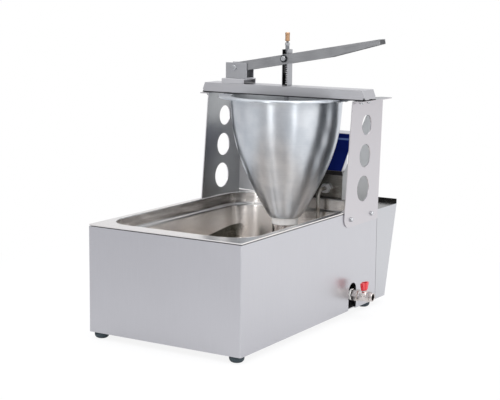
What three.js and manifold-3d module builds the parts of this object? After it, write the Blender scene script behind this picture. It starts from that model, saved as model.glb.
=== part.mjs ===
// Countertop donut maker: an oil tank on four feet, a hopper hung from a bridge over it, a lever that
// pushes a plunger through the hopper, and an electric heating head behind the tank.
// Millimetres, +Z up, the front at -Y and the drain valve at +X.
import * as THREE from "three";
import { mergeVertices } from "three/addons/utils/BufferGeometryUtils.js";
import Module from "manifold-3d";

const wasm = await Module();
wasm.setup();

// Casing
const bodyWidth = 340;
const bodyLength = 540;
const bodyHeight = 204;
const bodySheet = 1.5;
const bodyCorner = 3;
const bodyReturn = 12;
const rearPanelFlange = 12;
const plateGap = 1;
const footHeight = 13;
const footRadius = 14;
const footSole = 8;
const footBevel = 8;
const footEase = 2.5;
const footInsetX = 18;
const footInsetFront = 16;
const footInsetRear = 20;
const ventCount = 3;
const ventLength = 90;
const ventWidth = 6;
const ventPitch = 22;

// Oil tank
const deckLip = 3.5;
const deckSheet = 1.2;
const deckCorner = 4;
const deckFront = 34;
const deckSide = 15;
const deckRear = 15;
const wellCorner = 60;
const wellDepth = 150;
const wellMouthRadius = 3;
const wellShoulderDepth = 24;
const wellShoulder = 5;
const wellDraft = 6;
const wellFloorRadius = 26;

// Drain and ball valve
const drainSetback = 106;
const drainInsetX = 52;
const drainPipeRadius = 8.5;
const drainPipeBore = 6.5;
const drainFlange = 3.5;
const drainBend = 16;
const drainNotchWidth = 34;
const drainNotchHeight = 56;
const valveDrop = 176.5;
const valveStandOff = 1;
const valveLength = 46;
const valveInletFlats = 21.5;
const valveInletLength = 12;
const valveInletNeck = 9.2;
const valveHousingRadius = 11;
const valveHousingHalf = 6;
const valveBallPlace = 26;
const valveOutletFlats = 19;
const valveOutletLength = 6;
const valveTailRadius = 8.6;
const valveTailLength = 7;
const valveBore = 6;
const ballRadius = 7.8;
const ballBore = 5.5;
const stemRadius = 3;
const stemBossRadius = 5.5;
const stemBossHeight = 12.5;
const handleSpan = 26;
const handleBase = 18;
const handleHeight = 16;
const handleCorner = 3;
const handleThickness = 6.5;
const handleHubRadius = 6;
const handleHubHeight = 4;
const stemNutFlats = 9;
const stemNutPlay = 0.15;

// Rear housing
const rearDepthTop = 96;
const rearDepthBottom = 46;
const rearDrop = 14.3;
const rearSheet = 1.2;
const rearLipHeight = 10;

// Side brackets
const bracketSheet = 2;
const bracketOverlap = 29;
const bracketFrontSetback = 155.5;
const bracketFrontLean = 28.5;
const bracketRearSetback = 3;
const bracketRearLean = 13;
const bracketToe = 20;
const bracketFlange = 22;
const bracketHoleRises = [39.4, 106.5, 169.2];
const bracketHoleDiameters = [53, 48, 42];
const bracketBoltInset = 30;
const bracketBoltRise = 15;
const gussetReach = 77;
const gussetReachTop = 22;
const gussetStraight = 50;
const gussetClearance = 1;

// Bridge bar
const barRise = 221.8;
const barHeight = 21;
const barDepth = 50;
const barHalfBottom = 195;
const barHalfTop = 187;
const barSheet = 2;
const barReturn = 18;
const barNotch = 6;
const barSlotX = 24;
const barSlotLength = 14;
const barSlotWidth = 6;

// Hopper and nozzle
const hopperSetback = 92;
const hopperSheet = 1.5;
const rimRadius = 142;
const rimDrop = 4;
const mouthRadius = 117.5;
const throatRadius = 34;
const bellyRadius = 120.8;
const bellyShare = 0.569;
const shoulderRadius = 111.5;
const shoulderShare = 0.756;
const hopperFloorDrop = 254;
const collarRadius = 27.7;
const collarHeight = 14.5;
const nozzleRadius = 27.2;
const nozzleNeckRadius = 24;
const nozzleBore = 21.5;
const nozzleLip = 2;
const nozzleHeight = 42;
const formerRadius = 9;
const formerHeight = 3;
const formerSpokes = 3;
const formerSpokeWidth = 2.5;

// Plunger
const rodRadius = 4.7;
const rodNeckRadius = 3.5;
const pistonHeight = 12;
const pistonClearance = 0.3;
const pistonLift = 1.5;
const crossheadWidth = 10.4;
const crossheadHeight = 18;
const crossheadSocket = 6;
const studRadius = 4.2;
const studLength = 17;
const threadRadius = 2.8;
const threadLength = 20;
const jamNutFlats = 8.6;
const jamNutHeight = 6.6;
const knobRadius = 5;
const knobHeight = 17.8;
const knobLift = 2.8;
const springRadius = 5.2;
const springWire = 1.4;
const springTurns = 7;

// Guide post
const postWidth = 13.5;
const postDepth = 20;
const postSheet = 1.2;
const postHeight = 74.6;

// Lever and clevis
const pivotInset = 75;
const pivotRise = 33.1;
const leverRest = THREE.MathUtils.degToRad(9.8);
const leverWidth = 25;
const leverSheet = 1.5;
const leverAbove = 10.6;
const leverBelow = 9.4;
const leverTail = 16;
const leverLength = 343;
const leverKink = 226;
const leverTipDepth = 9.8;
const leverTipPlug = 14;
const followerSetback = 1;
const followerZ = 2.4;
const followerRadius = 2.5;
const followerPlay = 0.3;
const followerSweep = 1.4;
const followerFlats = 9.6;
const followerWasherRadius = 8;
const followerWasher = 1.2;
const leverStroke = 28.5;
const webOpening = 24;
const saddleTail = 25;
const saddleNose = 29.5;
const saddleHeight = 10.2;
const saddleSheet = 2;
const clevisTail = 21;
const clevisNose = 30.5;
const clevisSheet = 2;
const clevisHeight = 33;
const clevisSideGap = 0.5;
const pivotRadius = 3;
const pivotScrewFlats = 10;

// Heating head
const headHalf = 85;
const headFrontGap = 4;
const headDepth = 80;
const headHeight = 63.2;
const headSheet = 1.2;
const hoodSheet = 1.2;
const hoodApronRise = 10;
const hoodApronLean = 5;
const hoodSlopeRun = 33;
const hoodSlopeRise = 43;
const hoodBrowRise = 34;
const hoodTopRun = 52;
const hoodTailDrop = 24;
const labelSheet = 0.8;
const labelInset = 1;
const switchBoxHalf = 56;
const switchBoxDepth = 36;
const switchBoxTailGap = 2;
const dialX = -60;
const dialRadius = 16;
const dialSkirt = 3;
const dialShoulder = 4.8;
const dialGripRadius = 11.5;
const dialHeight = 12;
const spindleRadius = 3;
const spindleDepth = 5;
const dialLine = 1.5;
const lampX = [8, 28];
const lampRadius = 5;
const lampStem = 4;
const lampHeight = 4;
const lampCrownRadius = 3;
const lampStemDepth = 7;
const rockerX = -20;
const rockerWidth = 14;
const rockerLength = 21;
const rockerFrame = 3;
const rockerWall = 1;
const rockerPlayX = 0.6;
const rockerPlayY = 0.9;
const rockerDepth = 9.6;
const rockerRise = 3;
const rockerTilt = THREE.MathUtils.degToRad(8);
const glandX = 47;
const glandRise = 34;
const glandFlats = 19;
const glandHeight = 9;
const cableGlandX = 55;
const cableGlandRadius = 10;
const cableGlandBarrel = 8;
const cableGlandLength = 18;
const cableGlandBore = 4;

// Heating element
const heaterRadius = 4.1;
const heaterSetback = 34;
const heaterBend = 16;
const heaterFloorGap = 22;
const heaterFrontMargin = 78;
const heaterRearMargin = 105;
const heaterLegs = [37, 110];
const heaterSplay = 48;
const heaterNose = 32;

// Fasteners
const screwRadius = 2.5;
const screwFlats = 8;
const screwHead = 3.5;
const screwNut = 4;
const bracketScrewRadius = 3;
const bracketScrewFlats = 11;

// Fits
const seatGap = 0.3;
const cutMargin = 1;
const panelDrill = 40;
const weld = 1e-4;
const wireSides = 6;
const screwSides = 8;
const pipeSides = 12;
const roundSides = 14;
const largeSides = 24;
const smoothSides = 32;
const hopperSteps = 7;
const wellCornerSteps = 5;
const wellBendSteps = 3;
const tubeBendSteps = 3;
const coilSteps = 8;

const steel = { color: 0xc4c6c9, roughness: 0.28, metalness: 1 };
const satin = { color: 0xb9bbbe, roughness: 0.38, metalness: 1 };
const polished = { color: 0xcfcdca, roughness: 0.12, metalness: 1 };
const spun = { color: 0xbfc3c8, roughness: 0.25, metalness: 1 };
const darkSteel = { color: 0x8e8f91, roughness: 0.42, metalness: 1 };
const zinc = { color: 0xd5d7da, roughness: 0.2, metalness: 1 };
const brass = { color: 0xc9976a, roughness: 0.3, metalness: 1 };
const rubber = { color: 0x2b3236, roughness: 0.8, metalness: 0 };
const nylon = { color: 0xe9e8e4, roughness: 0.45, metalness: 0 };
const blackPlastic = { color: 0x1b1c1e, roughness: 0.45, metalness: 0 };
const redPlastic = { color: 0xd0252d, roughness: 0.35, metalness: 0 };
const bluePanel = { color: 0x071b5c, roughness: 0.35, metalness: 0 };
const amberLens = { color: 0xe08a1c, roughness: 0.2, metalness: 0 };
const greenLens = { color: 0x2ea043, roughness: 0.2, metalness: 0 };

// Heights and places, all worked out from the values above
const bodyBottom = footHeight;
const bodyTop = bodyBottom + bodyHeight;
const deckTop = bodyTop + seatGap + deckLip;
const barBottom = deckTop + barRise;
const barTop = barBottom + barHeight;
const barPlate = barTop + seatGap;
const bracketTop = barBottom - seatGap;
const bracketBottom = bodyTop - bracketOverlap;
const hopperTop = barBottom - seatGap;
const hopperFloor = hopperTop - hopperFloorDrop;
const saddleTop = barPlate + saddleHeight;
const clevisFloor = saddleTop + seatGap;
const pivotX = pivotInset - barHalfBottom;
const pivotZ = barTop + pivotRise;
const followerX = (followerZ * Math.sin(leverRest) - followerSetback - pivotX) / Math.cos(leverRest);
const valveZ = deckTop - valveDrop;
const rearTop = deckTop - rearDrop;
const headBottom = rearTop + seatGap;
const headTop = headBottom + headHeight;
const headFront = bodyLength + headFrontGap;
const sideX = bodyWidth / 2;
const hopperY = bodyLength - hopperSetback;
const drainY = bodyLength - drainSetback;
const bracketFrontY = bodyLength - bracketFrontSetback;
const bracketRearY = bodyLength - bracketRearSetback;
const heaterDropY = bodyLength - heaterSetback;
const heaterBackY = bodyLength - deckRear - heaterRearMargin;
const heaterFrontY = deckFront + heaterFrontMargin;
const drainX = sideX - drainInsetX;

// ---------------------------------------------------------------- shape tools

// A closed geometry as a solid that can be joined and cut.
function solid(geometry) {
  const bare = geometry.index ? geometry.toNonIndexed() : geometry.clone();
  bare.deleteAttribute("normal");
  bare.deleteAttribute("uv");
  const welded = mergeVertices(bare, weld);
  const corners = welded.index.array;
  const kept = [];
  for (let i = 0; i < corners.length; i += 3) {
    const [a, b, c] = corners.slice(i, i + 3);
    if (a !== b && b !== c && c !== a) kept.push(a, b, c);
  }
  const vertProperties = new Float32Array(welded.attributes.position.array);
  const triVerts = new Uint32Array(kept);
  return new wasm.Manifold(new wasm.Mesh({ numProp: 3, vertProperties, triVerts }));
}

function geometryOf(body) {
  const { vertProperties, triVerts } = body.getMesh();
  const shared = new THREE.BufferGeometry();
  shared.setAttribute("position", new THREE.BufferAttribute(vertProperties, 3));
  shared.setIndex(new THREE.BufferAttribute(triVerts, 1));
  const flat = shared.toNonIndexed();
  flat.computeVertexNormals();
  return flat;
}

function join(first, ...others) {
  return others.reduce((whole, next) => whole.add(next), first);
}

function cut(first, ...tools) {
  return tools.reduce((rest, tool) => rest.subtract(tool), first);
}

function outline(points) {
  return new THREE.Shape(points.map(([u, v]) => new THREE.Vector2(u, v)));
}

function circle(u, v, radius) {
  return new THREE.Shape().absarc(u, v, radius, 0, 2 * Math.PI);
}

function hexagon(u, v, flats) {
  const radius = flats / Math.sqrt(3);
  const corner = (i) => [u + radius * Math.cos((i * Math.PI) / 3), v + radius * Math.sin((i * Math.PI) / 3)];
  return outline([0, 1, 2, 3, 4, 5].map(corner));
}

function roundedRectangle(u0, u1, v0, v1, radius) {
  const shape = new THREE.Shape();
  shape.absarc(u1 - radius, v0 + radius, radius, -Math.PI / 2, 0);
  shape.absarc(u1 - radius, v1 - radius, radius, 0, Math.PI / 2);
  shape.absarc(u0 + radius, v1 - radius, radius, Math.PI / 2, Math.PI);
  shape.absarc(u0 + radius, v0 + radius, radius, Math.PI, 1.5 * Math.PI);
  return shape;
}

// A shape thickened along x, y or z. It is drawn in (Y, Z) for x, in (X, Z) for y and in (X, Y) for z.
function prism(axis, shape, from, to, sides = roundSides) {
  const depth = to - from;
  const geometry = new THREE.ExtrudeGeometry(shape, { depth, bevelEnabled: false, curveSegments: sides / 2 });
  const turn = new THREE.Matrix4();
  const [x, y, z] = [new THREE.Vector3(1, 0, 0), new THREE.Vector3(0, 1, 0), new THREE.Vector3(0, 0, 1)];
  if (axis === "x") turn.makeBasis(y, z, x);
  if (axis === "y") turn.makeBasis(x, z, y.clone().negate());
  geometry.translate(0, 0, axis === "y" ? -to : from);
  return solid(geometry.applyMatrix4(turn));
}

function block(x0, x1, y0, y1, z0, z1) {
  return prism("z", outline([[x0, y0], [x1, y0], [x1, y1], [x0, y1]]), z0, z1);
}

function rod(axis, radius, from, to, u, v, sides = roundSides) {
  return prism(axis, circle(u, v, radius), from, to, sides);
}

function hexRod(axis, flats, from, to, u, v) {
  return prism(axis, hexagon(u, v, flats), from, to);
}

// A profile of [radius, height] pairs, listed from the bottom up on the outside, turned about +Z.
function turned(profile, x, y, sides = roundSides) {
  const points = profile.map(([radius, height]) => new THREE.Vector2(radius, height));
  const geometry = new THREE.LatheGeometry(points, sides);
  return solid(geometry.rotateX(Math.PI / 2).translate(x, y, 0));
}

// A folded sheet seen edge-on: its outer line, and the same line moved to the left by the sheet's thickness.
function sheetOutline(line, thickness) {
  const points = line.map(([u, v]) => new THREE.Vector2(u, v));
  const leftOf = (a, b) => new THREE.Vector2(a.y - b.y, b.x - a.x).normalize();
  const inner = points.map((point, i) => {
    const before = leftOf(points[Math.max(i - 1, 0)], points[Math.max(i, 1)]);
    const after = leftOf(points[Math.min(i, points.length - 2)], points[Math.min(i + 1, points.length - 1)]);
    const mitre = before.clone().add(after).normalize();
    return point.clone().addScaledVector(mitre, thickness / mitre.dot(before));
  });
  return new THREE.Shape([...points, ...inner.reverse()]);
}

// Rings of equally many points, skinned one to the next and closed at both ends.
function loft(rings) {
  const count = rings[0].length;
  const triangles = [];
  rings.slice(1).forEach((upper, k) => {
    const lower = rings[k];
    for (let i = 0; i < count; i += 1) {
      const j = (i + 1) % count;
      triangles.push(lower[i], lower[j], upper[j], lower[i], upper[j], upper[i]);
    }
  });
  const last = rings[rings.length - 1];
  for (let i = 1; i < count - 1; i += 1) {
    triangles.push(rings[0][0], rings[0][i + 1], rings[0][i]);
    triangles.push(last[0], last[i], last[i + 1]);
  }
  return solid(new THREE.BufferGeometry().setFromPoints(triangles));
}

// A line through points whose corners are rounded. Its steps fall on the corners, and straights take one.
class BentLine extends THREE.Curve {
  constructor(corners, radius) {
    super();
    this.stops = [corners[0]];
    corners.slice(1, -1).forEach((corner, k) => {
      const back = corners[k].clone().sub(corner).normalize();
      const ahead = corners[k + 2].clone().sub(corner).normalize();
      const half = back.angleTo(ahead) / 2;
      const reach = radius / Math.tan(half);
      const inwards = back.clone().add(ahead).normalize();
      const centre = corner.clone().addScaledVector(inwards, radius / Math.sin(half));
      const from = corner.clone().addScaledVector(back, reach).sub(centre);
      const to = corner.clone().addScaledVector(ahead, reach).sub(centre);
      const sweep = from.angleTo(to);
      for (let i = 0; i <= tubeBendSteps; i += 1) {
        const angle = (sweep * i) / tubeBendSteps;
        const [a, b] = [Math.sin(sweep - angle) / Math.sin(sweep), Math.sin(angle) / Math.sin(sweep)];
        this.stops.push(centre.clone().addScaledVector(from, a).addScaledVector(to, b));
      }
    });
    this.stops.push(corners[corners.length - 1]);
  }

  getUtoTmapping(u) {
    return u;
  }

  getPoint(t) {
    const place = t * (this.stops.length - 1);
    const i = Math.min(Math.floor(place), this.stops.length - 2);
    return this.stops[i].clone().lerp(this.stops[i + 1], place - i);
  }

  getTangent(t) {
    const i = Math.round(t * (this.stops.length - 1));
    const here = this.stops[i];
    const before = this.stops[Math.max(i - 1, 0)];
    const after = this.stops[Math.min(i + 1, this.stops.length - 1)];
    const arriving = here.clone().sub(before).normalize();
    const leaving = after.clone().sub(here).normalize();
    return arriving.add(leaving).normalize();
  }
}

function tube(corners, radius, bend, sides) {
  const extrudePath = new BentLine(corners, bend);
  const settings = { steps: extrudePath.stops.length - 1, extrudePath, curveSegments: sides / 2 };
  return solid(new THREE.ExtrudeGeometry(circle(0, 0, radius), settings));
}

// A screw with its nut: the head stands on the face at headFace and the nut on the one at nutFace.
function screw(axis, u, v, headFace, nutFace, radius = screwRadius, flats = screwFlats) {
  const out = Math.sign(headFace - nutFace);
  const span = (from, to) => [Math.min(from, to), Math.max(from, to)];
  const head = [headFace + out * seatGap, headFace + out * (seatGap + screwHead)];
  const nut = [nutFace - out * (seatGap + screwNut), nutFace - out * seatGap];
  return join(
    hexRod(axis, flats, ...span(...head), u, v),
    rod(axis, radius, ...span(head[0], nut[0] - out), u, v, wireSides),
    hexRod(axis, flats, ...span(...nut), u, v),
  );
}

const machine = new THREE.Group();

function add(name, body, finish, parent = machine) {
  const mesh = new THREE.Mesh(geometryOf(body), new THREE.MeshStandardMaterial(finish));
  mesh.name = name;
  parent.add(mesh);
}

// ---------------------------------------------------------------- casing

function bracketLine(frontY, lean, z) {
  return frontY + (lean * (z - bracketBottom)) / (bracketTop - bracketBottom);
}

const bracketBoltZ = bracketBottom + bracketBoltRise;
const bracketBoltYs = [
  bracketLine(bracketFrontY, bracketFrontLean, bracketBoltZ) + bracketBoltInset,
  bracketLine(bracketRearY, bracketRearLean, bracketBoltZ) - bracketBoltInset,
];
const footPlaces = {
  front_left: [footInsetX - sideX, footInsetFront],
  front_right: [sideX - footInsetX, footInsetFront],
  rear_left: [footInsetX - sideX, bodyLength - footInsetRear],
  rear_right: [sideX - footInsetX, bodyLength - footInsetRear],
};

// The front and both sides are one sheet, folded at the two front corners; width is measured inwards.
function casingOutline(width) {
  const inner = Math.max(bodyCorner - width, bodySheet / 2);
  const [x, xIn] = [sideX, sideX - width];
  const shape = new THREE.Shape();
  shape.moveTo(-x, bodyLength);
  shape.absarc(bodyCorner - x, bodyCorner, bodyCorner, Math.PI, 1.5 * Math.PI);
  shape.absarc(x - bodyCorner, bodyCorner, bodyCorner, -Math.PI / 2, 0);
  shape.lineTo(x, bodyLength);
  shape.lineTo(xIn, bodyLength);
  shape.absarc(xIn - inner, width + inner, inner, 0, -Math.PI / 2, true);
  shape.absarc(inner - xIn, width + inner, inner, -Math.PI / 2, -Math.PI, true);
  shape.lineTo(-xIn, bodyLength);
  return shape;
}

function drainNotch() {
  const half = drainNotchWidth / 2;
  const shape = new THREE.Shape();
  shape.moveTo(drainY - half, bodyBottom - cutMargin);
  shape.lineTo(drainY + half, bodyBottom - cutMargin);
  shape.absarc(drainY, bodyBottom + drainNotchHeight - half, half, 0, Math.PI);
  return prism("x", shape, sideX - bodyReturn - cutMargin, sideX + cutMargin);
}

function buildCasing() {
  const walls = prism("z", casingOutline(bodySheet), bodyBottom, bodyTop, screwSides);
  const returns = prism("z", casingOutline(bodyReturn), bodyBottom, bodyBottom + bodySheet, screwSides);
  const boltHole = bracketScrewRadius + seatGap;
  const boltHoles = bracketBoltYs.map((y) => (
    rod("x", boltHole, -sideX - cutMargin, sideX + cutMargin, y, bracketBoltZ, screwSides)
  ));
  add("body_wrap", cut(join(walls, returns), drainNotch(), ...boltHoles), steel);

  const panelHalf = sideX - bodySheet - seatGap;
  const panelBottom = bodyBottom + bodySheet + seatGap;
  const panelBack = bodyLength - seatGap;
  const panelLine = [
    [-panelHalf, panelBack - rearPanelFlange],
    [-panelHalf, panelBack],
    [panelHalf, panelBack],
    [panelHalf, panelBack - rearPanelFlange],
  ].reverse();
  const panel = prism("z", sheetOutline(panelLine, bodySheet), panelBottom, bodyTop - cutMargin);
  add("rear_panel", panel, steel);

  const plateBack = panelBack - rearPanelFlange - seatGap;
  const plateHalf = sideX - bodySheet - plateGap;
  const plateTop = panelBottom + bodySheet;
  const plate = block(-plateHalf, plateHalf, bodySheet + plateGap, plateBack, panelBottom, plateTop);
  const vents = Array.from({ length: ventCount }, (_, i) => {
    const y = bodyLength / 2 + (i - (ventCount - 1) / 2) * ventPitch;
    const [half, reach] = [ventWidth / 2, ventLength / 2];
    const slot = roundedRectangle(-reach, reach, y - half, y + half, half - weld);
    return prism("z", slot, panelBottom - cutMargin, plateTop + cutMargin, 4);
  });
  const footHole = bracketScrewRadius + seatGap;
  const footHoles = Object.values(footPlaces).map(([x, y]) => (
    rod("z", footHole, panelBottom - cutMargin, plateTop + cutMargin, x, y, screwSides)
  ));
  add("base_plate", cut(plate, ...vents, ...footHoles), steel);

  const footTop = bodyBottom - seatGap;
  const nutSeat = plateTop + seatGap;
  Object.entries(footPlaces).forEach(([place, [x, y]]) => {
    const pad = turned([
      [0, 0],
      [footSole, 0],
      [footRadius - footEase, footEase],
      [footRadius, footBevel],
      [footRadius, footTop],
      [0, footTop],
    ], x, y, pipeSides);
    const studTop = nutSeat + screwNut + cutMargin;
    const stud = rod("z", bracketScrewRadius, footTop - cutMargin, studTop, x, y, screwSides);
    const nut = hexRod("z", bracketScrewFlats, nutSeat, nutSeat + screwNut, x, y);
    add(`foot_${place}`, join(pad, stud, nut), rubber);
  });
}

// ---------------------------------------------------------------- oil tank

const wellTop = deckTop;
const wellFloor = wellTop - wellDepth;

// A ring of the well at a height, drawn in from the well's mouth by inset.
function wellRing(inset, z) {
  const [x0, x1] = [deckSide - sideX + inset, sideX - deckSide - inset];
  const [y0, y1] = [deckFront + inset, bodyLength - deckRear - inset];
  const radius = wellCorner - inset;
  const [left, right, near, far] = [x0 + radius, x1 - radius, y0 + radius, y1 - radius];
  const centres = [[right, near], [right, far], [left, far], [left, near]];
  return centres.flatMap(([x, y], quarter) => Array.from({ length: wellCornerSteps + 1 }, (_, i) => {
    const angle = ((quarter - 1 + i / wellCornerSteps) * Math.PI) / 2;
    return new THREE.Vector3(x + radius * Math.cos(angle), y + radius * Math.sin(angle), z);
  }));
}

// The well's depth and inset from its floor up to its rounded mouth, for the face that is grow outside it.
function wellRings(grow, topMargin) {
  const quarter = Array.from({ length: wellBendSteps + 1 }, (_, i) => (i / wellBendSteps) * (Math.PI / 2));
  const floorRadius = wellFloorRadius + grow;
  const floorInset = wellShoulder + wellDraft + wellFloorRadius;
  const mouth = wellMouthRadius - grow;
  const floorRing = (a) => wellRing(
    floorInset - floorRadius * Math.sin(a),
    wellFloor + wellFloorRadius - floorRadius * Math.cos(a),
  );
  const mouthRing = (a) => wellRing(
    mouth * Math.cos(a) - wellMouthRadius,
    wellTop - wellMouthRadius + mouth * Math.sin(a),
  );
  return [
    ...quarter.map(floorRing),
    wellRing(wellShoulder - grow, wellTop - wellShoulderDepth - wellShoulder),
    wellRing(-grow, wellTop - wellShoulderDepth),
    ...quarter.map(mouthRing),
    wellRing(-wellMouthRadius, wellTop + topMargin),
  ];
}

function buildTank() {
  const deckOutline = (skin) => (
    roundedRectangle(skin - sideX, sideX - skin, skin, bodyLength - skin, deckCorner - skin)
  );
  const lipBottom = deckTop - deckLip;
  const deck = cut(
    prism("z", deckOutline(0), lipBottom, deckTop, screwSides),
    prism("z", deckOutline(deckSheet), lipBottom - cutMargin, deckTop - deckSheet, screwSides),
  );
  const shell = loft(wellRings(deckSheet, -deckSheet / 2));
  const hollow = loft(wellRings(0, cutMargin));
  const drainHoleRadius = drainPipeRadius + seatGap;
  const underFloor = wellFloor - deckSheet;
  const drainHole = rod("z", drainHoleRadius, underFloor - cutMargin, wellFloor + cutMargin, drainX, drainY);
  add("fry_tank", cut(join(deck, shell), hollow, drainHole), polished);
}

// ---------------------------------------------------------------- drain

const valveStart = sideX + valveStandOff;
const valveEnd = valveStart + valveLength;
const valveCentre = valveStart + valveBallPlace;
const stemTop = valveZ + stemBossHeight;
const handleTop = stemTop + seatGap + handleHubHeight;

function pointsOf(...triples) {
  return triples.map(([x, y, z]) => new THREE.Vector3(x, y, z));
}

function buildDrain() {
  const pipeEnd = valveStart + valveInletLength - cutMargin;
  const route = (extra) => pointsOf(
    [drainX, drainY, wellFloor + extra],
    [drainX, drainY, valveZ],
    [pipeEnd + extra, drainY, valveZ],
  );
  const outer = tube(route(0), drainPipeRadius, drainBend, pipeSides);
  const inner = tube(route(cutMargin), drainPipeBore, drainBend, pipeSides);
  const flangeTop = wellFloor - deckSheet - seatGap;
  const flange = rod("z", drainPipeRadius + drainFlange, flangeTop - deckSheet, flangeTop, drainX, drainY);
  add("drain_pipe", cut(join(outer, flange), inner), steel);

  const inletEnd = valveStart + valveInletLength;
  const tailStart = valveEnd - valveTailLength;
  const outletStart = tailStart - valveOutletLength;
  const housing = solid(
    new THREE.LatheGeometry([
      new THREE.Vector2(0, inletEnd - cutMargin),
      new THREE.Vector2(valveInletNeck, inletEnd - cutMargin),
      new THREE.Vector2(valveInletNeck, inletEnd + cutMargin),
      new THREE.Vector2(valveHousingRadius, valveCentre - valveHousingHalf),
      new THREE.Vector2(valveHousingRadius, valveCentre + valveHousingHalf),
      new THREE.Vector2(valveTailRadius, outletStart + cutMargin),
      new THREE.Vector2(valveTailRadius, valveEnd),
      new THREE.Vector2(0, valveEnd),
    ], roundSides).rotateZ(-Math.PI / 2).translate(0, drainY, valveZ),
  );
  const inlet = hexRod("x", valveInletFlats, valveStart, inletEnd, drainY, valveZ);
  const outlet = hexRod("x", valveOutletFlats, outletStart, tailStart, drainY, valveZ);
  const boss = rod("z", stemBossRadius, valveZ, stemTop, valveCentre, drainY);
  const sphere = (radius) => {
    const upright = new THREE.SphereGeometry(radius, pipeSides, pipeSides / 2).rotateX(Math.PI / 2);
    return solid(upright).translate([valveCentre, drainY, valveZ]);
  };
  const valveBody = cut(
    join(housing, inlet, outlet, boss),
    rod("x", drainPipeRadius + seatGap, valveStart - cutMargin, inletEnd - cutMargin / 2, drainY, valveZ),
    rod("x", valveBore, valveStart, valveEnd + cutMargin, drainY, valveZ),
    rod("z", stemRadius + seatGap, valveZ, stemTop + cutMargin, valveCentre, drainY),
    sphere(ballRadius + seatGap),
  );
  add("valve_body", valveBody, zinc);

  const ballFlat = valveZ + ballRadius - cutMargin;
  const offTop = rod("z", ballRadius, ballFlat, ballFlat + ballRadius, valveCentre, drainY);
  const reach = ballRadius + cutMargin;
  const passage = rod("y", ballBore, drainY - reach, drainY + reach, valveCentre, valveZ);
  add("valve_ball", cut(sphere(ballRadius), passage, offTop), polished);

  const stemEnd = handleTop + screwNut + seatGap;
  add("valve_stem", rod("z", stemRadius, ballFlat + seatGap, stemEnd, valveCentre, drainY), zinc);

  // Two upright wings stand on a hub, across the pipe: the valve is closed.
  const hubBottom = stemTop + seatGap;
  const wingTop = hubBottom + handleHeight;
  const reachOut = handleSpan / 2;
  const wings = new THREE.Shape();
  wings.moveTo(-handleBase / 2, hubBottom);
  wings.lineTo(handleBase / 2, hubBottom);
  wings.absarc(reachOut - handleCorner, wingTop - handleCorner, handleCorner, 0, Math.PI / 2);
  wings.absarc(handleCorner - reachOut, wingTop - handleCorner, handleCorner, Math.PI / 2, Math.PI);
  const handle = cut(
    join(
      prism("x", wings, -handleThickness / 2, handleThickness / 2, screwSides),
      rod("z", handleHubRadius, hubBottom, handleTop, 0, 0),
    ),
    rod("z", stemRadius + seatGap, hubBottom - cutMargin, handleTop + cutMargin, 0, 0),
    hexRod("z", stemNutFlats + 2 * cutMargin, handleTop, wingTop + cutMargin, 0, 0),
  ).translate([valveCentre, drainY, 0]);
  add("valve_handle", handle, redPlastic);

  const nutBottom = handleTop + seatGap;
  const nutTop = nutBottom + screwNut;
  const nut = cut(
    hexRod("z", stemNutFlats, nutBottom, nutTop, valveCentre, drainY),
    rod("z", stemRadius + stemNutPlay, nutBottom - cutMargin, nutTop + cutMargin, valveCentre, drainY),
  );
  add("handle_nut", nut, zinc);
}

// ---------------------------------------------------------------- rear housing

function buildRearHousing() {
  const start = bodyLength + seatGap;
  const profile = (skin, front) => outline([
    [start - front, bodyBottom + skin],
    [bodyLength + rearDepthBottom - skin, bodyBottom + skin],
    [bodyLength + rearDepthTop - skin, rearTop - skin],
    [start - front, rearTop - skin],
  ]);
  const shell = cut(
    prism("x", profile(0, 0), -sideX, sideX),
    prism("x", profile(rearSheet, cutMargin), rearSheet - sideX, sideX - rearSheet),
  );
  const lipY = bodyLength + rearDepthTop;
  const lip = block(-sideX, sideX, lipY - rearSheet, lipY, rearTop - rearSheet, rearTop + rearLipHeight);
  add("rear_housing", join(shell, lip), steel);
}

// ---------------------------------------------------------------- brackets and bridge

const bracketInner = sideX + seatGap;
const bracketOuter = bracketInner + bracketSheet;
const barBoltX = bracketOuter + (bracketFlange - bracketSheet) / 2;
const barBoltYs = [hopperY - barDepth / 2 + barReturn / 2, hopperY + barDepth / 2 - barReturn / 2];
const barFloor = barBottom + barSheet;
const hopperBoltX = (rimRadius + mouthRadius) / 2;

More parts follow.
